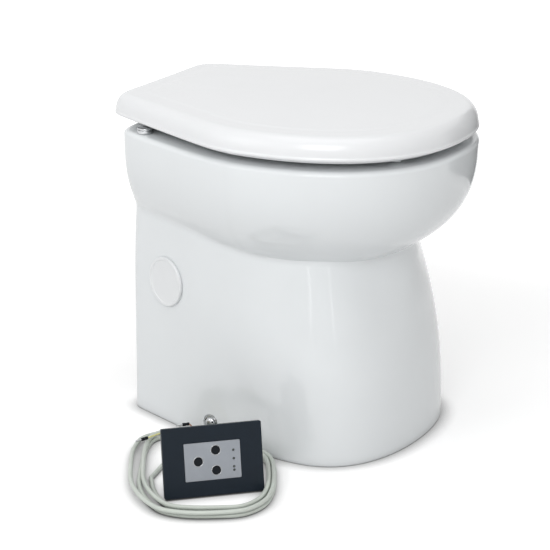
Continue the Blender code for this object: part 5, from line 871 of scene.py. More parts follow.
def basin_rows(opening):
    """The basin from the rim's inner edge down to the spigot, and its outer side going up again."""
    lip = RIM_HEIGHT - RIM_LIP
    inner = bend(opening, RIM_HEIGHT, RIM_ROUND, -RIM_ROUND, 8)
    inner.append(ring(opening, lip + EDGE_CUT))
    inner.append(ring(opening + EDGE_CUT, lip))
    outer = []
    top = lip - RIM_UNDERCUT
    for depth, size, outward, downward in through(BASIN_SHARES, 34):
        height = top - depth * (top - THROAT_HEIGHT)
        reach = THROAT_RADIUS + (opening - THROAT_RADIUS) * size
        shift = THROAT_BEHIND_AXIS * min(max(1 - size, 0), 1)
        inner.append(ring(reach, height, shift))
        outer.append(ring(reach + BASIN_WALL * outward, height - BASIN_WALL * downward, shift))
    for radius, height in (
        (THROAT_RADIUS, SPIGOT_END + EDGE_CUT),
        (THROAT_RADIUS + EDGE_CUT, SPIGOT_END),
        (SPIGOT_RADIUS - EDGE_CUT, SPIGOT_END),
        (SPIGOT_RADIUS, SPIGOT_END + EDGE_CUT),
        (SPIGOT_RADIUS, SPIGOT_TOP),
    ):
        inner.append(ring(np.full(AROUND.shape, radius), height, THROAT_BEHIND_AXIS))
    return inner + outer[::-1]


def inner_rows(opening, crease):
    """The underside of the rim and the inner side of bowl and pedestal, down to the foot."""
    roof = RIM_HEIGHT - RIM_THICKNESS
    first = BASIN_SHARES[0][1]
    rows = [ring(THROAT_RADIUS + (opening - THROAT_RADIUS) * first + BASIN_WALL, roof)]
    foot = FOOT_HEIGHT + FOOT_RISE
    for share in np.linspace(1, 0, 8):
        height = crease + (roof - crease) * share
        rows.append(ring(skin_reach(height) - SHELL_WALL, height))
    for share in np.linspace(0.93, 0, 14):
        height = foot + (crease - foot) * share
        rows.append(ring(skin_reach(height) - SKIRT_WALL, height))
    reach = with_back(pedestal_reach(0)) - FOOT_WIDTH
    return rows + [ring(reach, FOOT_HEIGHT), ring(reach, 0)]


def ceramic_cutters():
    """Closed shapes of the rear window and of every hole in the ceramic."""
    outline = rounded_rectangle(WINDOW_WIDTH, WINDOW_TOP - WINDOW_BOTTOM, WINDOW_CORNER, 10)
    middle = (0, 0, (WINDOW_TOP + WINDOW_BOTTOM) / 2)
    cutters = [prism("window", outline, SKIRT_WALL * 3, middle, AXES["rear"])]
    hole = BOLT_RADIUS + RUNNING_GAP
    reach = SKIRT_WALL * 2
    step = [(0, reach, 0), (BOLT_SEAT_RADIUS, reach, 0), (BOLT_SEAT_RADIUS, 0, 0)]
    step += [(hole, 0, 0), (hole, -reach, 0), (0, -reach, 0)]
    for side in (-1, 1):
        x, y = flank_point(CAP_BEHIND_AXIS)
        port = (side * x, y, CAP_HEIGHT)
        bolt = (side * BOLT_SEAT_X, BOLT_Y, BOLT_HEIGHT)
        stud = (side * STUD_X, STUD_Y, RIM_HEIGHT - RIM_THICKNESS / 2)
        radius = CAP_PLUG_RADIUS + RUNNING_GAP
        cutters.append(plug("port", radius, SKIRT_WALL * 1.5, port, flank_axes(side), PORT_SIDES))
        cutters.append(turned("bolt_hole", step, bolt, outward_axes((side, 0, 0)), SEAT_SIDES))
        cutters.append(plug("stud_hole", STUD_HOLE_RADIUS, RIM_THICKNESS, stud, AXES["z"], HOLE_SIDES))
    nozzle = (0, AXIS_Y + BASIN_BACK + BASIN_WALL, NOZZLE_HEIGHT)
    cutters.append(plug("nozzle_hole", NOZZLE_HOLE_RADIUS, BASIN_WALL * 2, nozzle, AXES["y"], HOLE_SIDES))
    return cutters


def lid_reach():
    """The lid's outline: an oval front, straight flanks that draw in, and a flat back."""
    return nearest(oval(*LID_OVAL), flank(*LID_FLANK), flat_back(LID_BACK), softness=LID_CORNER)


def barrel(start, end, count):
    """Points round the hinge's axis, between two angles in degrees."""
    angles = np.radians(np.linspace(start, end, count))
    points = np.stack([np.cos(angles), np.sin(angles)], axis=-1) * BARREL_RADIUS
    return [tuple(point) for point in points + (HINGE_Y, HINGE_HEIGHT)]


def bored_lug(name, outline, length, x):
    """A hinge lug: its side outline given a length along X, with the rod's bore and softened edges."""
    lug = prism(name, outline, length, (x, 0, 0), AXES["x"])
    middle = (x, HINGE_Y, HINGE_HEIGHT)
    bore = plug("bore", HINGE_ROD_RADIUS + GAP, length, middle, AXES["x"], HOLE_SIDES)
    return softened(cut_away(lug, bore), LUG_ROUND)


def panel_point(across, out, up):
    """A place on the panel, from its own axes, in the frame's."""
    return tuple(PANEL @ Vector((across, out, up)))


PANEL_AXES = np.array([PANEL.to_3x3() @ Vector(axis) for axis in ((1, 0, 0), (0, 0, 1), (0, -1, 0))])


def panel_block(name, size, corner, thickness, place):
    """A block with rounded corners about a place on the panel, in the panel's own axes."""
    return prism(name, rounded_rectangle(*size, corner), thickness, panel_point(*place), PANEL_AXES)


def panel_round(name, corners, x, z, sides, closed=False):
    """A turned piece that faces straight out of the panel."""
    return turned(name, corners, panel_point(x, 0, z), PANEL_AXES, sides, closed)


def floor_turn(across, deep):
    """X and Y of a direction across the photograph's view and into it."""
    cosine = math.cos(COIL_TURN)
    sine = math.sin(COIL_TURN)
    return across * cosine - deep * sine, across * sine + deep * cosine


def to_floor(across, deep, height):
    """A place from its reach across the photograph's view and its depth into it."""
    x, y = floor_turn(across, deep)
    return np.array((x, AXIS_Y + y, height))


def coil_outline(angle):
    """The outermost loop's outline: an oval that is flattened where it passes the pedestal."""
    across = np.cos(angle)
    deep = np.sin(angle)
    soft = np.clip(-across, 0, 1) * np.clip(-deep, 0, 1) * 2
    power = COIL_OVAL - COIL_SOFT_CORNER * soft
    free = np.abs(across / COIL_HALF_WIDTH) ** power + np.abs(deep / COIL_HALF_LENGTH) ** power
    x, y = floor_turn(across, deep)
    wall = np.clip(x, LEAST * 10, None) / COIL_WALL_SIDE
    reach = (free ** (COIL_CORNER / power) + wall**COIL_CORNER) ** (-1 / COIL_CORNER)
    return np.stack([COIL_CENTRE[0] + reach * x, COIL_CENTRE[1] + reach * y], axis=-1)


def coil_knots():
    """Points along the coil: it spirals out on the floor, climbs one layer and spirals in again."""
    turns = np.linspace(0, COIL_TURNS, round(COIL_TURNS * COIL_POINTS) + 1)
    angle = 2 * math.pi * (COIL_START + turns)
    step = math.pi / COIL_POINTS
    along = unit(coil_outline(angle + step) - coil_outline(angle - step))
    inward = np.stack([-along[:, 1], along[:, 0]], axis=-1)
    right, rear, left, front = COIL_PITCHES
    endward = np.sin(angle) ** 6
    pitch = np.where(np.cos(angle) > 0, right, left) * (1 - endward)
    pitch += np.where(np.sin(angle) > 0, rear, front) * endward
    shift = pitch * np.abs(turns - COIL_TURNS / 2)
    flat = coil_outline(angle) + inward * shift[:, None]
    climb = np.clip((turns - COIL_TURNS / 2) * 2 + 0.5, 0, 1)
    points = np.column_stack([flat, CABLE_LAY + COIL_LIFT * smooth(climb)])
    first = points[0] + unit(points[0] - points[1]) * CABLE_DIAMETER
    last = points[-1] + unit(points[-1] - points[-2]) * CABLE_DIAMETER
    return np.concatenate([[first], points, [last]])


def path_length(path):
    """The length of a line through its points."""
    return float(np.linalg.norm(np.diff(path, axis=0), axis=1).sum())


def laid_path(start, leaving, route, end, arriving, lead, count):
    """A smooth path through a route, with a straight length at each end."""
    start = np.array(start, float)
    end = np.array(end, float)
    middle = through([start + leaving * lead, *route, end - arriving * lead], count)
    return np.concatenate([[start], middle, [end]])


def cable_path():
    """The cable's centreline, from the panel's gland to the end of its sheath."""
    knots = coil_knots()
    gland_end = BACK_BOX_START + BACK_BOX_DEPTH + GLAND_LENGTH
    leave = panel_point(0, gland_end + CORD_GAP, GLAND_HEIGHT)
    onward = unit(knots[1] - knots[0])
    meet = knots[0] - onward * CORD_GAP
    route = [to_floor(*place) for place in CABLE_FLOOR_ROUTE]
    lead = laid_path(leave, -PANEL_AXES[2], route, meet, onward, CABLE_DIAMETER, 90)
    lead[:, 2] = np.maximum(lead[:, 2], CABLE_LAY)
    return np.concatenate([lead, through(knots, round(path_length(knots) / CABLE_STEP))])


def core_path(start, heading, route):
    """One core's centreline from the sheath's end, and the direction in which its pin points."""
    *places, last, pin_end = [to_floor(*place) for place in route]
    onward = unit(pin_end - last)
    return laid_path(start, heading, places, last, onward, CORE_LEAD, 60), onward


def amount(name, description, default, low=0.0, **kind):
    """A measure or a strength that a user can change."""
    return bpy.props.FloatProperty(name=name, description=description, default=default, min=low, **kind)


def number(name, description, default, low):
    """A whole number that a user can change."""
    return bpy.props.IntProperty(name=name, description=description, default=default, min=low)


def tint(name, description, slot):
    """A colour that a user can change, which starts at the colour of a slot."""
    kind = {"size": 3, "subtype": "COLOR", "min": 0, "max": 1, "default": FINISHES[slot][0]}
    return bpy.props.FloatVectorProperty(name=name, description=description, **kind)


class FinishSettings(bpy.types.PropertyGroup):
    """Figures that the pieces' operators read."""

    crease_rows: number("Crease Rows", "Rows of faces on each side of the ceramic's crease", 12, 4)
    round_sides: number("Round Sides", "Faces round each small turned piece", 72, 12)
    crown_step: amount("Crown Step", "Rise of the lid's inset crown over its border", 0.0006, unit="LENGTH")
    cable_sides: number("Cable Sides", "Faces round the cable", 14, 8)
    glazed_ceramic: tint("Glaze", "Colour of the ceramic's glaze", "glazed_ceramic")
    seat_white: tint("Seat and Lid", "Colour of the seat and the lid", "seat_white")
    panel_black: tint("Panel Frame", "Colour of the panel's frame", "panel_black")
    plate_silver: tint("Panel Plate", "Colour of the plate round the buttons", "plate_silver")
    cable_sheath: tint("Cable", "Colour of the cable's sheath", "cable_sheath")


class StageSettings(bpy.types.PropertyGroup):
    """Figures of the studio: its lights and its floor."""

    key_power: amount("Key", "Power of the large light on the left", 9.3, unit="POWER")
    top_power: amount("Top", "Power of the light overhead", 13.8, unit="POWER")
    front_power: amount("Front", "Power of the light beside the camera", 33.5, unit="POWER")
    strip_power: amount("Strips", "Power of the two tall strip lights", 1.6, unit="POWER")
    sky_strength: amount("Sky", "Strength of the even light from all round", 0.55)
    floor_tone: amount("Floor", "Reflectance of the floor", 0.80, max=1.0, subtype="FACTOR")
    floor_lift: amount("Floor Lift", "Light that the floor adds where it is seen", 0.38)
    far_lift: amount("Far Lift", "Light that it adds far from the toilet", 0.66)
    card_tone: amount("Card Tone", "Grey of the dark card beside the toilet", 0.03, max=1.0)
    # Reach of the painted shade that ambient occlusion lays on the floor beside a foot
    contact_reach: amount("Contact Reach", "Reach of the shadow beside a foot", 0.022, 0.001, unit="LENGTH")


class TOILET_OT_ceramic(bpy.types.Operator):
    """Build the glazed bowl and pedestal"""

    bl_idname = "toilet.ceramic"
    bl_label = "Ceramic"

    def execute(self, context):
        crease = crease_height()
        opening = oval(*BASIN_OVAL)
        rows = skin_rows(crease, context.scene.toilet_finish.crease_rows)
        rows += basin_rows(opening) + inner_rows(opening, crease)
        shell = grid_mesh("ceramic", np.array(rows), along=True)
        lay_node(cut_away(shell, *ceramic_cutters()), "ceramic_bowl", sharp=32)
        return {"FINISHED"}


class TOILET_OT_seat(bpy.types.Operator):
    """Build the seat ring and its four buffers"""

    bl_idname = "toilet.seat"
    bl_label = "Seat"

    def execute(self, context):
        outer = nearest(lid_reach() - SEAT_INSET, flat_back(SEAT_BACK))
        inner = oval(*SEAT_OVAL)
        top = SEAT_BOTTOM + SEAT_THICKNESS
        low = SEAT_ROUND / 2
        fall = SEAT_ROUND * SEAT_FALL
        rows = bend(outer, SEAT_BOTTOM, -low, low, 6)
        rows += bend(outer, top, -SEAT_ROUND, -SEAT_ROUND, 9, 90, 0)
        inset = outer - SEAT_ROUND
        step = inner + SEAT_ROUND * 2
        for share in np.linspace(0, 1, 8)[1:]:
            rows.append(ring(inset + (step - inset) * share, top - fall * share**2))
        rows += bend(inner, top - fall, SEAT_ROUND * 2, -SEAT_ROUND * SEAT_ROLL, 9)[1:]
        rows += [ring(inner, SEAT_BOTTOM + low / 3), ring(inner + low / 3, SEAT_BOTTOM)]
        lay_node(grid_mesh("seat", np.array(rows), along=True), "seat_ring")
        self.buffers(context.scene.toilet_finish.round_sides)
        return {"FINISHED"}

    def buffers(self, sides):
        """Four soft feet with a waist, between the seat and the rim."""
        bottom = RIM_HEIGHT + GAP
        height = SEAT_BOTTOM - RIM_HEIGHT - GAP * 2
        corners = [(BUFFER_RADIUS * x, bottom + height * z, radius) for x, z, radius in BUFFER_PROFILE]
        for word, x, y in BUFFER_PLACES:
            foot = turned(f"buffer_{word}", corners, (x, y, 0), AXES["z"], sides)
            lay_node(foot, f"seat_buffer_{word}")


class TOILET_OT_lid(bpy.types.Operator):
    """Build the lid, its rests and its notches for the hinge"""

    bl_idname = "toilet.lid"
    bl_label = "Lid"

    def execute(self, context):
        settings = context.scene.toilet_finish
        cover = cut_away(self.cover(settings.crown_step), *self.notches())
        low = SEAT_BOTTOM + SEAT_THICKNESS + GAP
        high = LID_UNDERSIDE + GAP
        radius = LID_REST_RADIUS
        corners = [(0, low, 0), (radius, low, 0.0008), (radius, high, 0), (0, high, 0)]
        rests = []
        for _, x, y in BUFFER_PLACES:
            rests.append(turned("rest", corners, (x, y, 0), AXES["z"], settings.round_sides))
        lay_node(joined("lid_cover", cover, *rests), "lid")
        return {"FINISHED"}

    def cover(self, crown_step):
        """The lid: a lip, a pillow edge that is a quarter of an ellipse, and a crown inside a soft step.

        The crown falls with the square of the share of the way out."""
        outer = lid_reach()
        lip = LID_LIP_WIDTH
        wall = outer - LID_LIP_STEP
        lip_turn = LID_LIP_HEIGHT * LID_LIP_TURN
        rows = bend(outer, LID_LIP_BOTTOM, -LID_LIP_TUCK, lip_turn, 8)
        for share in np.linspace(0, 1, 7)[1:]:
            height = LID_LIP_BOTTOM + lip_turn + (LID_LIP_HEIGHT - lip_turn) * share
            rows.append(ring(outer - LID_LIP_STEP * smooth(share), height))
        rise = LID_EDGE_TOP - LID_LIP_BOTTOM - LID_LIP_HEIGHT
        rows += bend(wall, LID_EDGE_TOP, -LID_EDGE_WIDTH, -rise, 18, 90, LID_EDGE_END)[1:]
        fall = LID_CROWN - LID_EDGE_TOP - crown_step
        for share in np.concatenate([np.linspace(0.985, 0.80, 26), np.linspace(0.76, 0, 16)]):
            step = min(max((share - LID_STEP_START) / LID_STEP_SPAN, 0), 1)
            height = LID_CROWN - fall * share**2 - crown_step * smooth(step)
            rows.append(ring((wall - LID_EDGE_WIDTH) * share, height))
        under = [ring(outer * 0, LID_UNDERSIDE)]
        under += bend(outer - lip, LID_UNDERSIDE, -LID_ROUND_IN, -LID_ROUND_IN, 5)
        under.append(ring(outer - lip, LID_LIP_BOTTOM))
        return grid_mesh("cover", np.array(under + rows))

    def notches(self):
        """Two closed shapes that give the hinge bases and the seat's lugs room as the lid turns."""
        bottom = LID_LIP_BOTTOM - NOTCH_MARGIN
        top = LID_UNDERSIDE + LID_NOTCH_RISE
        near = SEAT_BARREL_X - LUG_LENGTH / 2 - LID_NOTCH_CLEARANCE / 2
        far = BASE_BARREL_X + BASE_BARREL_LENGTH / 2 + LID_NOTCH_CLEARANCE
        outline = rounded_rectangle(far - near, top - bottom, NOTCH_CORNER)
        y = AXIS_Y + LID_BACK + (NOTCH_MARGIN - NOTCH_REACH) / 2
        made = []
        for side in (-1, 1):
            place = (side * (far + near) / 2, y, (top + bottom) / 2)
            made.append(prism("notch", outline, NOTCH_REACH + NOTCH_MARGIN, place, AXES["rear"]))
        return made


class TOILET_OT_hinge(bpy.types.Operator):
    """Build the hinge bases and the lugs of seat and lid"""

    bl_idname = "toilet.hinge"
    bl_label = "Hinge"

    def execute(self, context):
        sides = context.scene.toilet_finish.round_sides
        for side, word in ((-1, "left"), (1, "right")):
            self.base(side, word, sides)
            self.seat_lug(side, word)
            self.lid_lug(side, word)
        return {"FINISHED"}

    def base(self, side, word, sides):
        """A chrome disc with its stud and nut, and the cranked arm up to its barrel."""
        bottom = RIM_HEIGHT + GAP
        disc = turned("disc", BASE_PROFILE, (side * STUD_X, STUD_Y, bottom), AXES["z"], sides)
        low = bottom + BASE_NECK
        arm_top = low + ARM_THICKNESS
        outline = [(STUD_Y, low), (STUD_Y + ARM_REACH, low), *barrel(300, 490, 24)]
        outline += [(STUD_Y + ARM_REACH - ARM_THICKNESS / 2, arm_top), (STUD_Y, arm_top)]
        arm = bored_lug("arm", outline, BASE_BARREL_LENGTH, side * BASE_BARREL_X)
        middle = (side * (STUD_X + BASE_BARREL_X) / 2, STUD_Y + LINK_WIDTH / 2, low + ARM_THICKNESS / 2)
        outline = rounded_rectangle(STUD_X - BASE_BARREL_X, LINK_WIDTH, GAP)
        link = prism("link", outline, LINK_THICKNESS, middle, AXES["z"])
        lay_node(joined(f"hinge_disc_{word}", disc, arm, link), f"hinge_base_{word}")

    def seat_lug(self, side, word):
        """The lug that is screwed under the seat's rear edge."""
        under = SEAT_BOTTOM - GAP
        low = under - LUG_PAD_THICKNESS
        rear = AXIS_Y + SEAT_BACK
        edge = SEAT_ROUND / 2
        outline = [(rear - SEAT_PAD_LENGTH, under), (rear - SEAT_PAD_LENGTH, low), (rear + edge, low)]
        outline += barrel(290, 500, 24) + [(rear + edge * 1.2, under + edge * 2)]
        outline += [(rear + GAP * 2, under + edge), (rear - edge, under)]
        lug = bored_lug(f"seat_lug_{word}", outline, LUG_LENGTH, side * SEAT_BARREL_X)
        lay_node(lug, f"seat_hinge_{word}")

    def lid_lug(self, side, word):
        """The lug under the lid."""
        under = LID_UNDERSIDE - GAP
        low = under - LUG_PAD_THICKNESS
        outline = [(HINGE_Y - LID_PAD_FRONT, under), (HINGE_Y - LID_PAD_FRONT, low)]
        outline += [(HINGE_Y - BARREL_RADIUS * 0.8, low - GAP), *barrel(125, 415, 30)]
        outline += [(HINGE_Y + LID_PAD_REAR, low), (HINGE_Y + LID_PAD_REAR, under)]
        lug = bored_lug(f"lid_lug_{word}", outline, LUG_LENGTH, side * LID_BARREL_X)
        lay_node(lug, f"lid_hinge_{word}")


class TOILET_OT_fittings(bpy.types.Operator):
    """Build the round side caps and the domed floor bolts"""

    bl_idname = "toilet.fittings"
    bl_label = "Caps and Bolts"

    def execute(self, context):
        sides = context.scene.toilet_finish.round_sides
        for side, word in ((-1, "left"), (1, "right")):
            x, y = flank_point(CAP_BEHIND_AXIS, RUNNING_GAP)
            place = (side * x, y, CAP_HEIGHT)
            cap = turned(f"flank_cap_{word}", CAP_PROFILE, place, flank_axes(side), CAP_SIDES)
            lay_node(cap, f"side_cap_{word}")
            place = (side * (BOLT_SEAT_X + GAP), BOLT_Y, BOLT_HEIGHT)
            bolt = turned(f"bolt_{word}", BOLT_PROFILE, place, outward_axes((side, 0, 0)), sides)
            lay_node(bolt, f"floor_bolt_{word}")
        return {"FINISHED"}


class TOILET_OT_panel(bpy.types.Operator):
    """Build the control panel: frame, plate, buttons, lamps and back box"""

    bl_idname = "toilet.panel"
    bl_label = "Control Panel"

    def execute(self, context):
        sides = context.scene.toilet_finish.round_sides
        middle = (0, FRAME_THICKNESS / 2, FRAME_HEIGHT / 2)
        size = (FRAME_WIDTH, FRAME_HEIGHT)
        surround = panel_block("surround", size, FRAME_CORNER, FRAME_THICKNESS, middle)
        size = (PLATE_WIDTH + RUNNING_GAP, PLATE_HEIGHT + RUNNING_GAP)
        place = (PLATE_CENTRE[0], 0, PLATE_CENTRE[1])
        opening = panel_block("opening", size, PLATE_CORNER, FRAME_THICKNESS * 3, place)
        lay_node(softened(cut_away(surround, opening), FRAME_ROUND, 3), "panel_frame", flat=True)
        self.plate(sides)
        self.buttons(sides)
        self.lamps(PLATE_BACK + GAP + BUTTON_FLANGE + BUTTON_TRAVEL + GAP)
        self.back_box(sides)
        return {"FINISHED"}

    def plate(self, sides):
        """The silver plate, with a pale ring round each button's hole and a hole for each lamp."""
        depth = PLATE_RECESS + PLATE_THICKNESS / 2
        place = (PLATE_CENTRE[0], depth, PLATE_CENTRE[1])
        face = panel_block("face", (PLATE_WIDTH, PLATE_HEIGHT), PLATE_CORNER, PLATE_THICKNESS, place)
        places = [(BUTTON_RADIUS + GAP, x, z) for _, x, z in BUTTON_PLACES]
        places += [(LAMP_RADIUS + GAP, LAMP_X, z) for z in LAMP_HEIGHTS]
        holes = []
        for radius, x, z in places:
            holes.append(plug("hole", radius, HOLE_REACH, panel_point(x, depth, z), PANEL_AXES, sides))
        lay_node(softened(cut_away(face, *holes), PLATE_ROUND), "panel_plate", flat=True)
        near = BUTTON_RADIUS + BEZEL_GAP
        far = near + BEZEL_WIDTH
        low = BEZEL_LIFT - PLATE_RECESS
        high = low + BEZEL_HEIGHT
        corners = [(near, low, 0), (far, low, 0), (far, high, BEZEL_ROUND), (near, high, BEZEL_ROUND)]
        for word, x, z in BUTTON_PLACES:
            lay(panel_round(f"bezel_{word}", corners, x, z, sides, True), "chrome")

    def buttons(self, sides):
        """Three round buttons, each with a hardly domed face and a flange behind the plate."""
        front = BUTTON_PROUD - PLATE_RECESS
        back = -PLATE_BACK - GAP
        corners = [
            (0, front - 0.00022, 0),
            (BUTTON_RADIUS * 0.70, front - 0.00006, 0.003),
            (BUTTON_RADIUS * 0.88, front, 0.0003),
            (BUTTON_RADIUS, front - BUTTON_PROUD * 0.4, 0.0003),
            (BUTTON_RADIUS, back, 0),
            (BUTTON_RADIUS * 1.2, back, 0),
            (BUTTON_RADIUS * 1.2, back - BUTTON_FLANGE, 0),
            (0, back - BUTTON_FLANGE, 0),
        ]
        for word, x, z in BUTTON_PLACES:
            lay_node(panel_round(f"key_{word}", corners, x, z, sides), f"button_{word}")

    def lamps(self, board_front):
        """The bar of four small lamps behind the plate."""
        depth = board_front - PLATE_BACK - GAP * 2
        size = (LAMP_RADIUS * 4, LAMP_HEIGHTS[0] - LAMP_HEIGHTS[-1] + LAMP_RADIUS * 4)
        place = (LAMP_X, PLATE_BACK + GAP + depth / 2, (LAMP_HEIGHTS[0] + LAMP_HEIGHTS[-1]) / 2)
        shells = [panel_block("bar", size, BAR_CORNER, depth, place)]
        back = -PLATE_BACK - GAP * 2
        corners = [(0, -PLATE_RECESS, 0), (LAMP_RADIUS, -PLATE_RECESS - 0.0002, 0.0006)]
        corners += [(LAMP_RADIUS, back, 0), (0, back, 0)]
        for z in LAMP_HEIGHTS:
            shells.append(panel_round("lamp", corners, LAMP_X, z, LAMP_SIDES))
        lay_node(joined("lamps", *shells), "indicator_lights", flat=True)

    def back_box(self, sides):
        """The hollow box behind the frame and its cable gland."""
        middle = BACK_BOX_BOTTOM + BACK_BOX_HEIGHT / 2
        centre = BACK_BOX_START + BACK_BOX_DEPTH / 2
        wall = BACK_BOX_WALL
        shells = []
        for name, inset, corner in (("box", 0, BOX_CORNER), ("hollow", wall, BOX_CORNER / 2)):
            size = (BACK_BOX_WIDTH - inset * 2, BACK_BOX_HEIGHT - inset * 2)
            shells.append(panel_block(name, size, corner, BACK_BOX_DEPTH, (0, centre - inset, middle)))
        box = softened(cut_away(*shells), BOX_ROUND, 3)
        end = -BACK_BOX_START - BACK_BOX_DEPTH
        corners = [(0, end + wall / 2, 0), (GLAND_RADIUS, end + wall / 2, 0)]
        corners += [(GLAND_RADIUS, end - 0.003, 0.0006), (GLAND_RADIUS * 0.84, end - 0.0036, 0.0003)]
        corners += [(GLAND_TIP_RADIUS, end - GLAND_LENGTH, 0.0008), (0, end - GLAND_LENGTH, 0)]
        gland = panel_round("gland", corners, 0, GLAND_HEIGHT, sides)
        lay_node(joined("rear_box", box, gland), "panel_back_box", flat=True)


class TOILET_OT_cable(bpy.types.Operator):
    """Build the panel's cable, its two cores and their crimped pins"""

    bl_idname = "toilet.cable"
    bl_label = "Cable"

    def execute(self, context):
        path = cable_path()
        sheath = tube("sheath", path, CABLE_DIAMETER / 2, context.scene.toilet_finish.cable_sides)
        obj = lay(sheath, "cable_sheath", nodes=("panel_cable", "cable_coil"))
        heading = unit(path[-1] - path[-2])
        across = unit(np.cross(heading, (0, 0, 1))) * CORE_SIDE
        start = path[-1] + heading * CORD_GAP
        self.core("core_yellow", start - across, heading, YELLOW_ROUTE)
        self.core("core_brown", start + across, heading, BROWN_ROUTE)
        return {"FINISHED"}

    def core(self, node, start, heading, route):
        """One core of the cable, with its crimp and pin."""
        path, onward = core_path(start, heading, route)
        obj = lay(tube(f"{node}_wire", path, CORE_DIAMETER / 2, CORE_SIDES), node, nodes=(node,))
        back = -CRIMP_RADIUS
        front = back + CRIMP_LENGTH
        corners = [(0, back, 0), (CRIMP_RADIUS * 0.92, back, 0.0003)]
        for width, share in ((1, 0.3), (0.82, 0.45), (1, 0.6)):
            corners.append((CRIMP_RADIUS * width, back + CRIMP_LENGTH * share, 0.001))
        corners += [(CRIMP_RADIUS, front, 0.0004), (0, front, 0)]
        axes = outward_axes(onward)
        sleeve = lay(turned(f"{node}_crimp", corners, path[-1], axes, CRIMP_SIDES), "button_black")
        foot = front - PIN_OVERLAP
        tip = front + PIN_LENGTH
        corners = [(0, foot, 0), (PIN_RADIUS, foot, 0), (PIN_RADIUS, tip, 0.0006), (0, tip, 0)]
        pin = lay(turned(f"{node}_pin", corners, path[-1], axes, PIN_SIDES), "stainless_steel")


class TOILET_OT_hidden(bpy.types.Operator):
    """Smooth and finish the pieces inside the pedestal and behind the panel"""

    bl_idname = "toilet.hidden"
    bl_label = "Pump and Fittings"

    def execute(self, context):
        for node in PLAIN_NODES:
            mesh = frame["nodes"][node].data.copy()
            mesh.name = f"{node}_shell"
            piece = lay_node(cleaned(mesh, 1e-5), node, look=OTHER_LOOKS.get(node), sharp=42)
            if node == "solenoid_spring":
                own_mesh(piece)
        return {"FINISHED"}


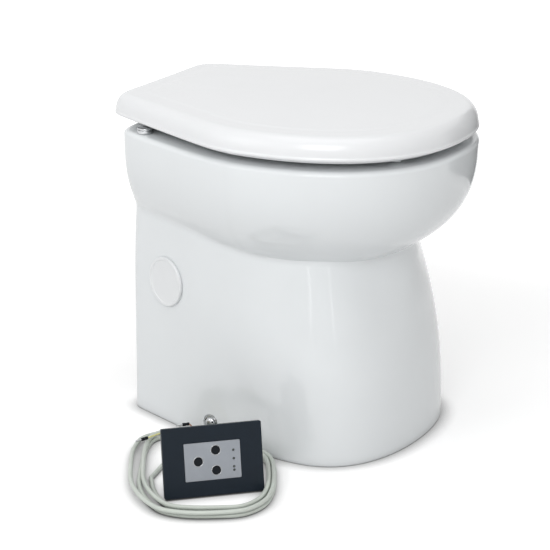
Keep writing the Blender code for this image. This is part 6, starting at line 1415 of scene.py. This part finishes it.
class TOILET_OT_stage(bpy.types.Operator):
    """Set up the floor, the lights, a dark card and the camera"""

    bl_idname = "toilet.stage"
    bl_label = "Studio"

    def execute(self, context):
        settings = context.scene.toilet_stage
        self.camera(context.scene)
        self.sky(context.scene, settings)
        self.floor(settings)
        self.light("key", (-2.20, 1.10, 1.60), 1.6, settings.key_power)
        self.light("top", (-0.30, -0.30, 2.80), 2.0, settings.top_power)
        self.light("front", (-2.60, -1.20, 2.20), 1.4, settings.front_power)
        self.light("strip_left", (-3.00, -0.20, 1.00), 0.10, settings.strip_power, 1.6)
        self.light("strip_right", (-2.20, -2.60, 1.00), 0.10, settings.strip_power, 1.6)
        self.dark_card(settings)
        return {"FINISHED"}

    def camera(self, scene):
        """The camera fitted to the photograph."""
        lens = bpy.data.cameras.new("photo_camera")
        lens.lens = CAMERA_LENS
        lens.sensor_width = SENSOR_WIDTH
        lens.clip_end = FARTHEST_VIEW
        right = Vector(CAMERA_RIGHT).normalized()
        up = Vector(CAMERA_UP).normalized()
        turn = Matrix((right, up, right.cross(up))).transposed()
        scene.camera = put("photo_camera", lens)
        scene.camera.matrix_world = Matrix.Translation(CAMERA_PLACE) @ turn.to_4x4()
        scene.view_settings.view_transform = "Standard"

    def seen_rays(self, tree):
        """The kinds of ray, and which of them show or mirror a surface."""
        path = add_node(tree, "ShaderNodeLightPath")
        return path, math_node(tree, "MAXIMUM", path["Is Camera Ray"], path["Is Glossy Ray"])

    def sky(self, scene, settings):
        """White where it is seen or mirrored, and a softer even light on everything else."""
        world = bpy.data.worlds.new("studio_sky")
        world.use_nodes = True
        tree = world.node_tree
        tree.nodes.clear()
        path, seen = self.seen_rays(tree)
        clear = math_node(tree, "MAXIMUM", seen, path["Is Transmission Ray"])
        white = {"Color": (1, 1, 1, 1), "Strength": 1.0}
        soft = white | {"Strength": settings.sky_strength}
        even = add_node(tree, "ShaderNodeBackground", soft)
        bright = add_node(tree, "ShaderNodeBackground", white)
        mix = add_node(tree, "ShaderNodeMixShader", {0: clear, 1: even[0], 2: bright[0]})
        add_node(tree, "ShaderNodeOutputWorld", {"Surface": mix[0]})
        scene.world = world

    def floor(self, settings):
        """A wide pale floor that stays white and keeps the lights' shadow at the foot, with painted shade
        beside the foot from ambient occlusion.
        """
        reach = FLOOR_REACH
        corners = [(-reach, -reach, 0), (reach, -reach, 0), (reach, reach, 0), (-reach, reach, 0)]
        tree = self.sheet("studio_floor", corners).node_tree
        tree.nodes.clear()
        tone = (*[settings.floor_tone] * 3, 1)
        _, seen = self.seen_rays(tree)
        place = add_node(tree, "ShaderNodeTexCoord")["Object"]
        away = add_node(tree, "ShaderNodeVectorMath", {0: place}, operation="LENGTH")
        spans = {"From Min": LIFT_NEAR, "From Max": LIFT_FAR, "Value": away["Value"]}
        spans |= {"To Min": settings.floor_lift, "To Max": settings.far_lift}
        spread = add_node(tree, "ShaderNodeMapRange", spans, interpolation_type="SMOOTHSTEP")
        # Painted shade: ambient occlusion darkens the floor's colour and dims its glow beside the foot, a
        # contact shadow laid into the surface
        near = {"Distance": settings.contact_reach, "Color": tone}
        painted_contact_shade = add_node(tree, "ShaderNodeAmbientOcclusion", near, samples=PAINTED_SHADE_SAMPLES)
        matt = add_node(tree, "ShaderNodeBsdfDiffuse", {"Color": painted_contact_shade["Color"]})
        lift_with_painted_shade = math_node(tree, "MULTIPLY", spread["Result"], painted_contact_shade["AO"])
        lift = math_node(tree, "MULTIPLY", seen, lift_with_painted_shade)
        glow = add_node(tree, "ShaderNodeEmission", {"Strength": lift})
        both = add_node(tree, "ShaderNodeAddShader", {0: matt[0], 1: glow[0]})
        add_node(tree, "ShaderNodeOutputMaterial", {"Surface": both[0]})

    def dark_card(self, settings):
        """A dark upright card out of the picture, which the right end of bowl and lid mirrors."""
        corners = [(CARD_X, CARD_NEAR, CARD_BOTTOM), (CARD_X, CARD_FAR, CARD_BOTTOM)]
        corners += [(CARD_X, CARD_FAR, CARD_TOP), (CARD_X, CARD_NEAR, CARD_TOP)]
        shader = self.sheet("studio_card", corners).node_tree.nodes["Principled BSDF"]
        shader.inputs["Base Color"].default_value = (*[settings.card_tone] * 3, 1)
        shader.inputs["Roughness"].default_value = CARD_ROUGHNESS

    def sheet(self, name, corners):
        """A flat piece of the studio with a new material, which is handed back."""
        mesh = bpy.data.meshes.new(name)
        mesh.from_pydata(corners, [], [(0, 1, 2, 3)])
        made = bpy.data.materials.new(name)
        made.use_nodes = True
        mesh.materials.append(made)
        obj = put(name, mesh)
        return made

    def light(self, name, place, size, power, height=None):
        """A soft light that faces the pedestal, square unless it has a height of its own."""
        lamp = bpy.data.lights.new(f"{name}_light", "AREA")
        lamp.shape = "RECTANGLE"
        lamp.size = size
        lamp.size_y = height or size
        lamp.energy = power
        obj = put(f"{name}_light", lamp)
        obj.location = place
        aim = Vector((0, AXIS_Y, RIM_HEIGHT / 2)) - Vector(place)
        obj.rotation_euler = aim.to_track_quat("-Z", "Y").to_euler()


STEPS = (
    TOILET_OT_stage,
    TOILET_OT_cable,
    TOILET_OT_ceramic,
    TOILET_OT_seat,
    TOILET_OT_lid,
    TOILET_OT_hinge,
    TOILET_OT_fittings,
    TOILET_OT_panel,
    TOILET_OT_hidden,
)


class TOILET_PT_finish(bpy.types.Panel):
    """Buttons and figures of every piece"""

    bl_label = "Marine Toilet"
    bl_space_type = "VIEW_3D"
    bl_region_type = "UI"
    bl_category = "Toilet"

    def draw(self, context):
        layout = self.layout
        for step in STEPS:
            layout.operator(step.bl_idname)
        for settings in (context.scene.toilet_finish, context.scene.toilet_stage):
            for name in settings.bl_rna.properties.keys():
                if name not in ("rna_type", "name"):
                    layout.prop(settings, name)


CLASSES = (FinishSettings, StageSettings, *STEPS, TOILET_PT_finish)


def register():
    """Add the classes and their figures."""
    for item in CLASSES:
        bpy.utils.register_class(item)
    bpy.types.Scene.toilet_finish = bpy.props.PointerProperty(type=FinishSettings)
    bpy.types.Scene.toilet_stage = bpy.props.PointerProperty(type=StageSettings)


def unregister():
    """Take them out again."""
    del bpy.types.Scene.toilet_stage
    del bpy.types.Scene.toilet_finish
    for item in reversed(CLASSES):
        bpy.utils.unregister_class(item)


def main():
    """Build everything in order."""
    register()
    bpy.ops.toilet.stage()
    bpy.ops.toilet.cable()
    bpy.ops.toilet.ceramic()
    bpy.ops.toilet.seat()
    bpy.ops.toilet.lid()
    bpy.ops.toilet.hinge()
    bpy.ops.toilet.fittings()
    bpy.ops.toilet.panel()
    bpy.ops.toilet.hidden()
    bpy.context.view_layer.update()


if __name__ == "__main__":
    main()
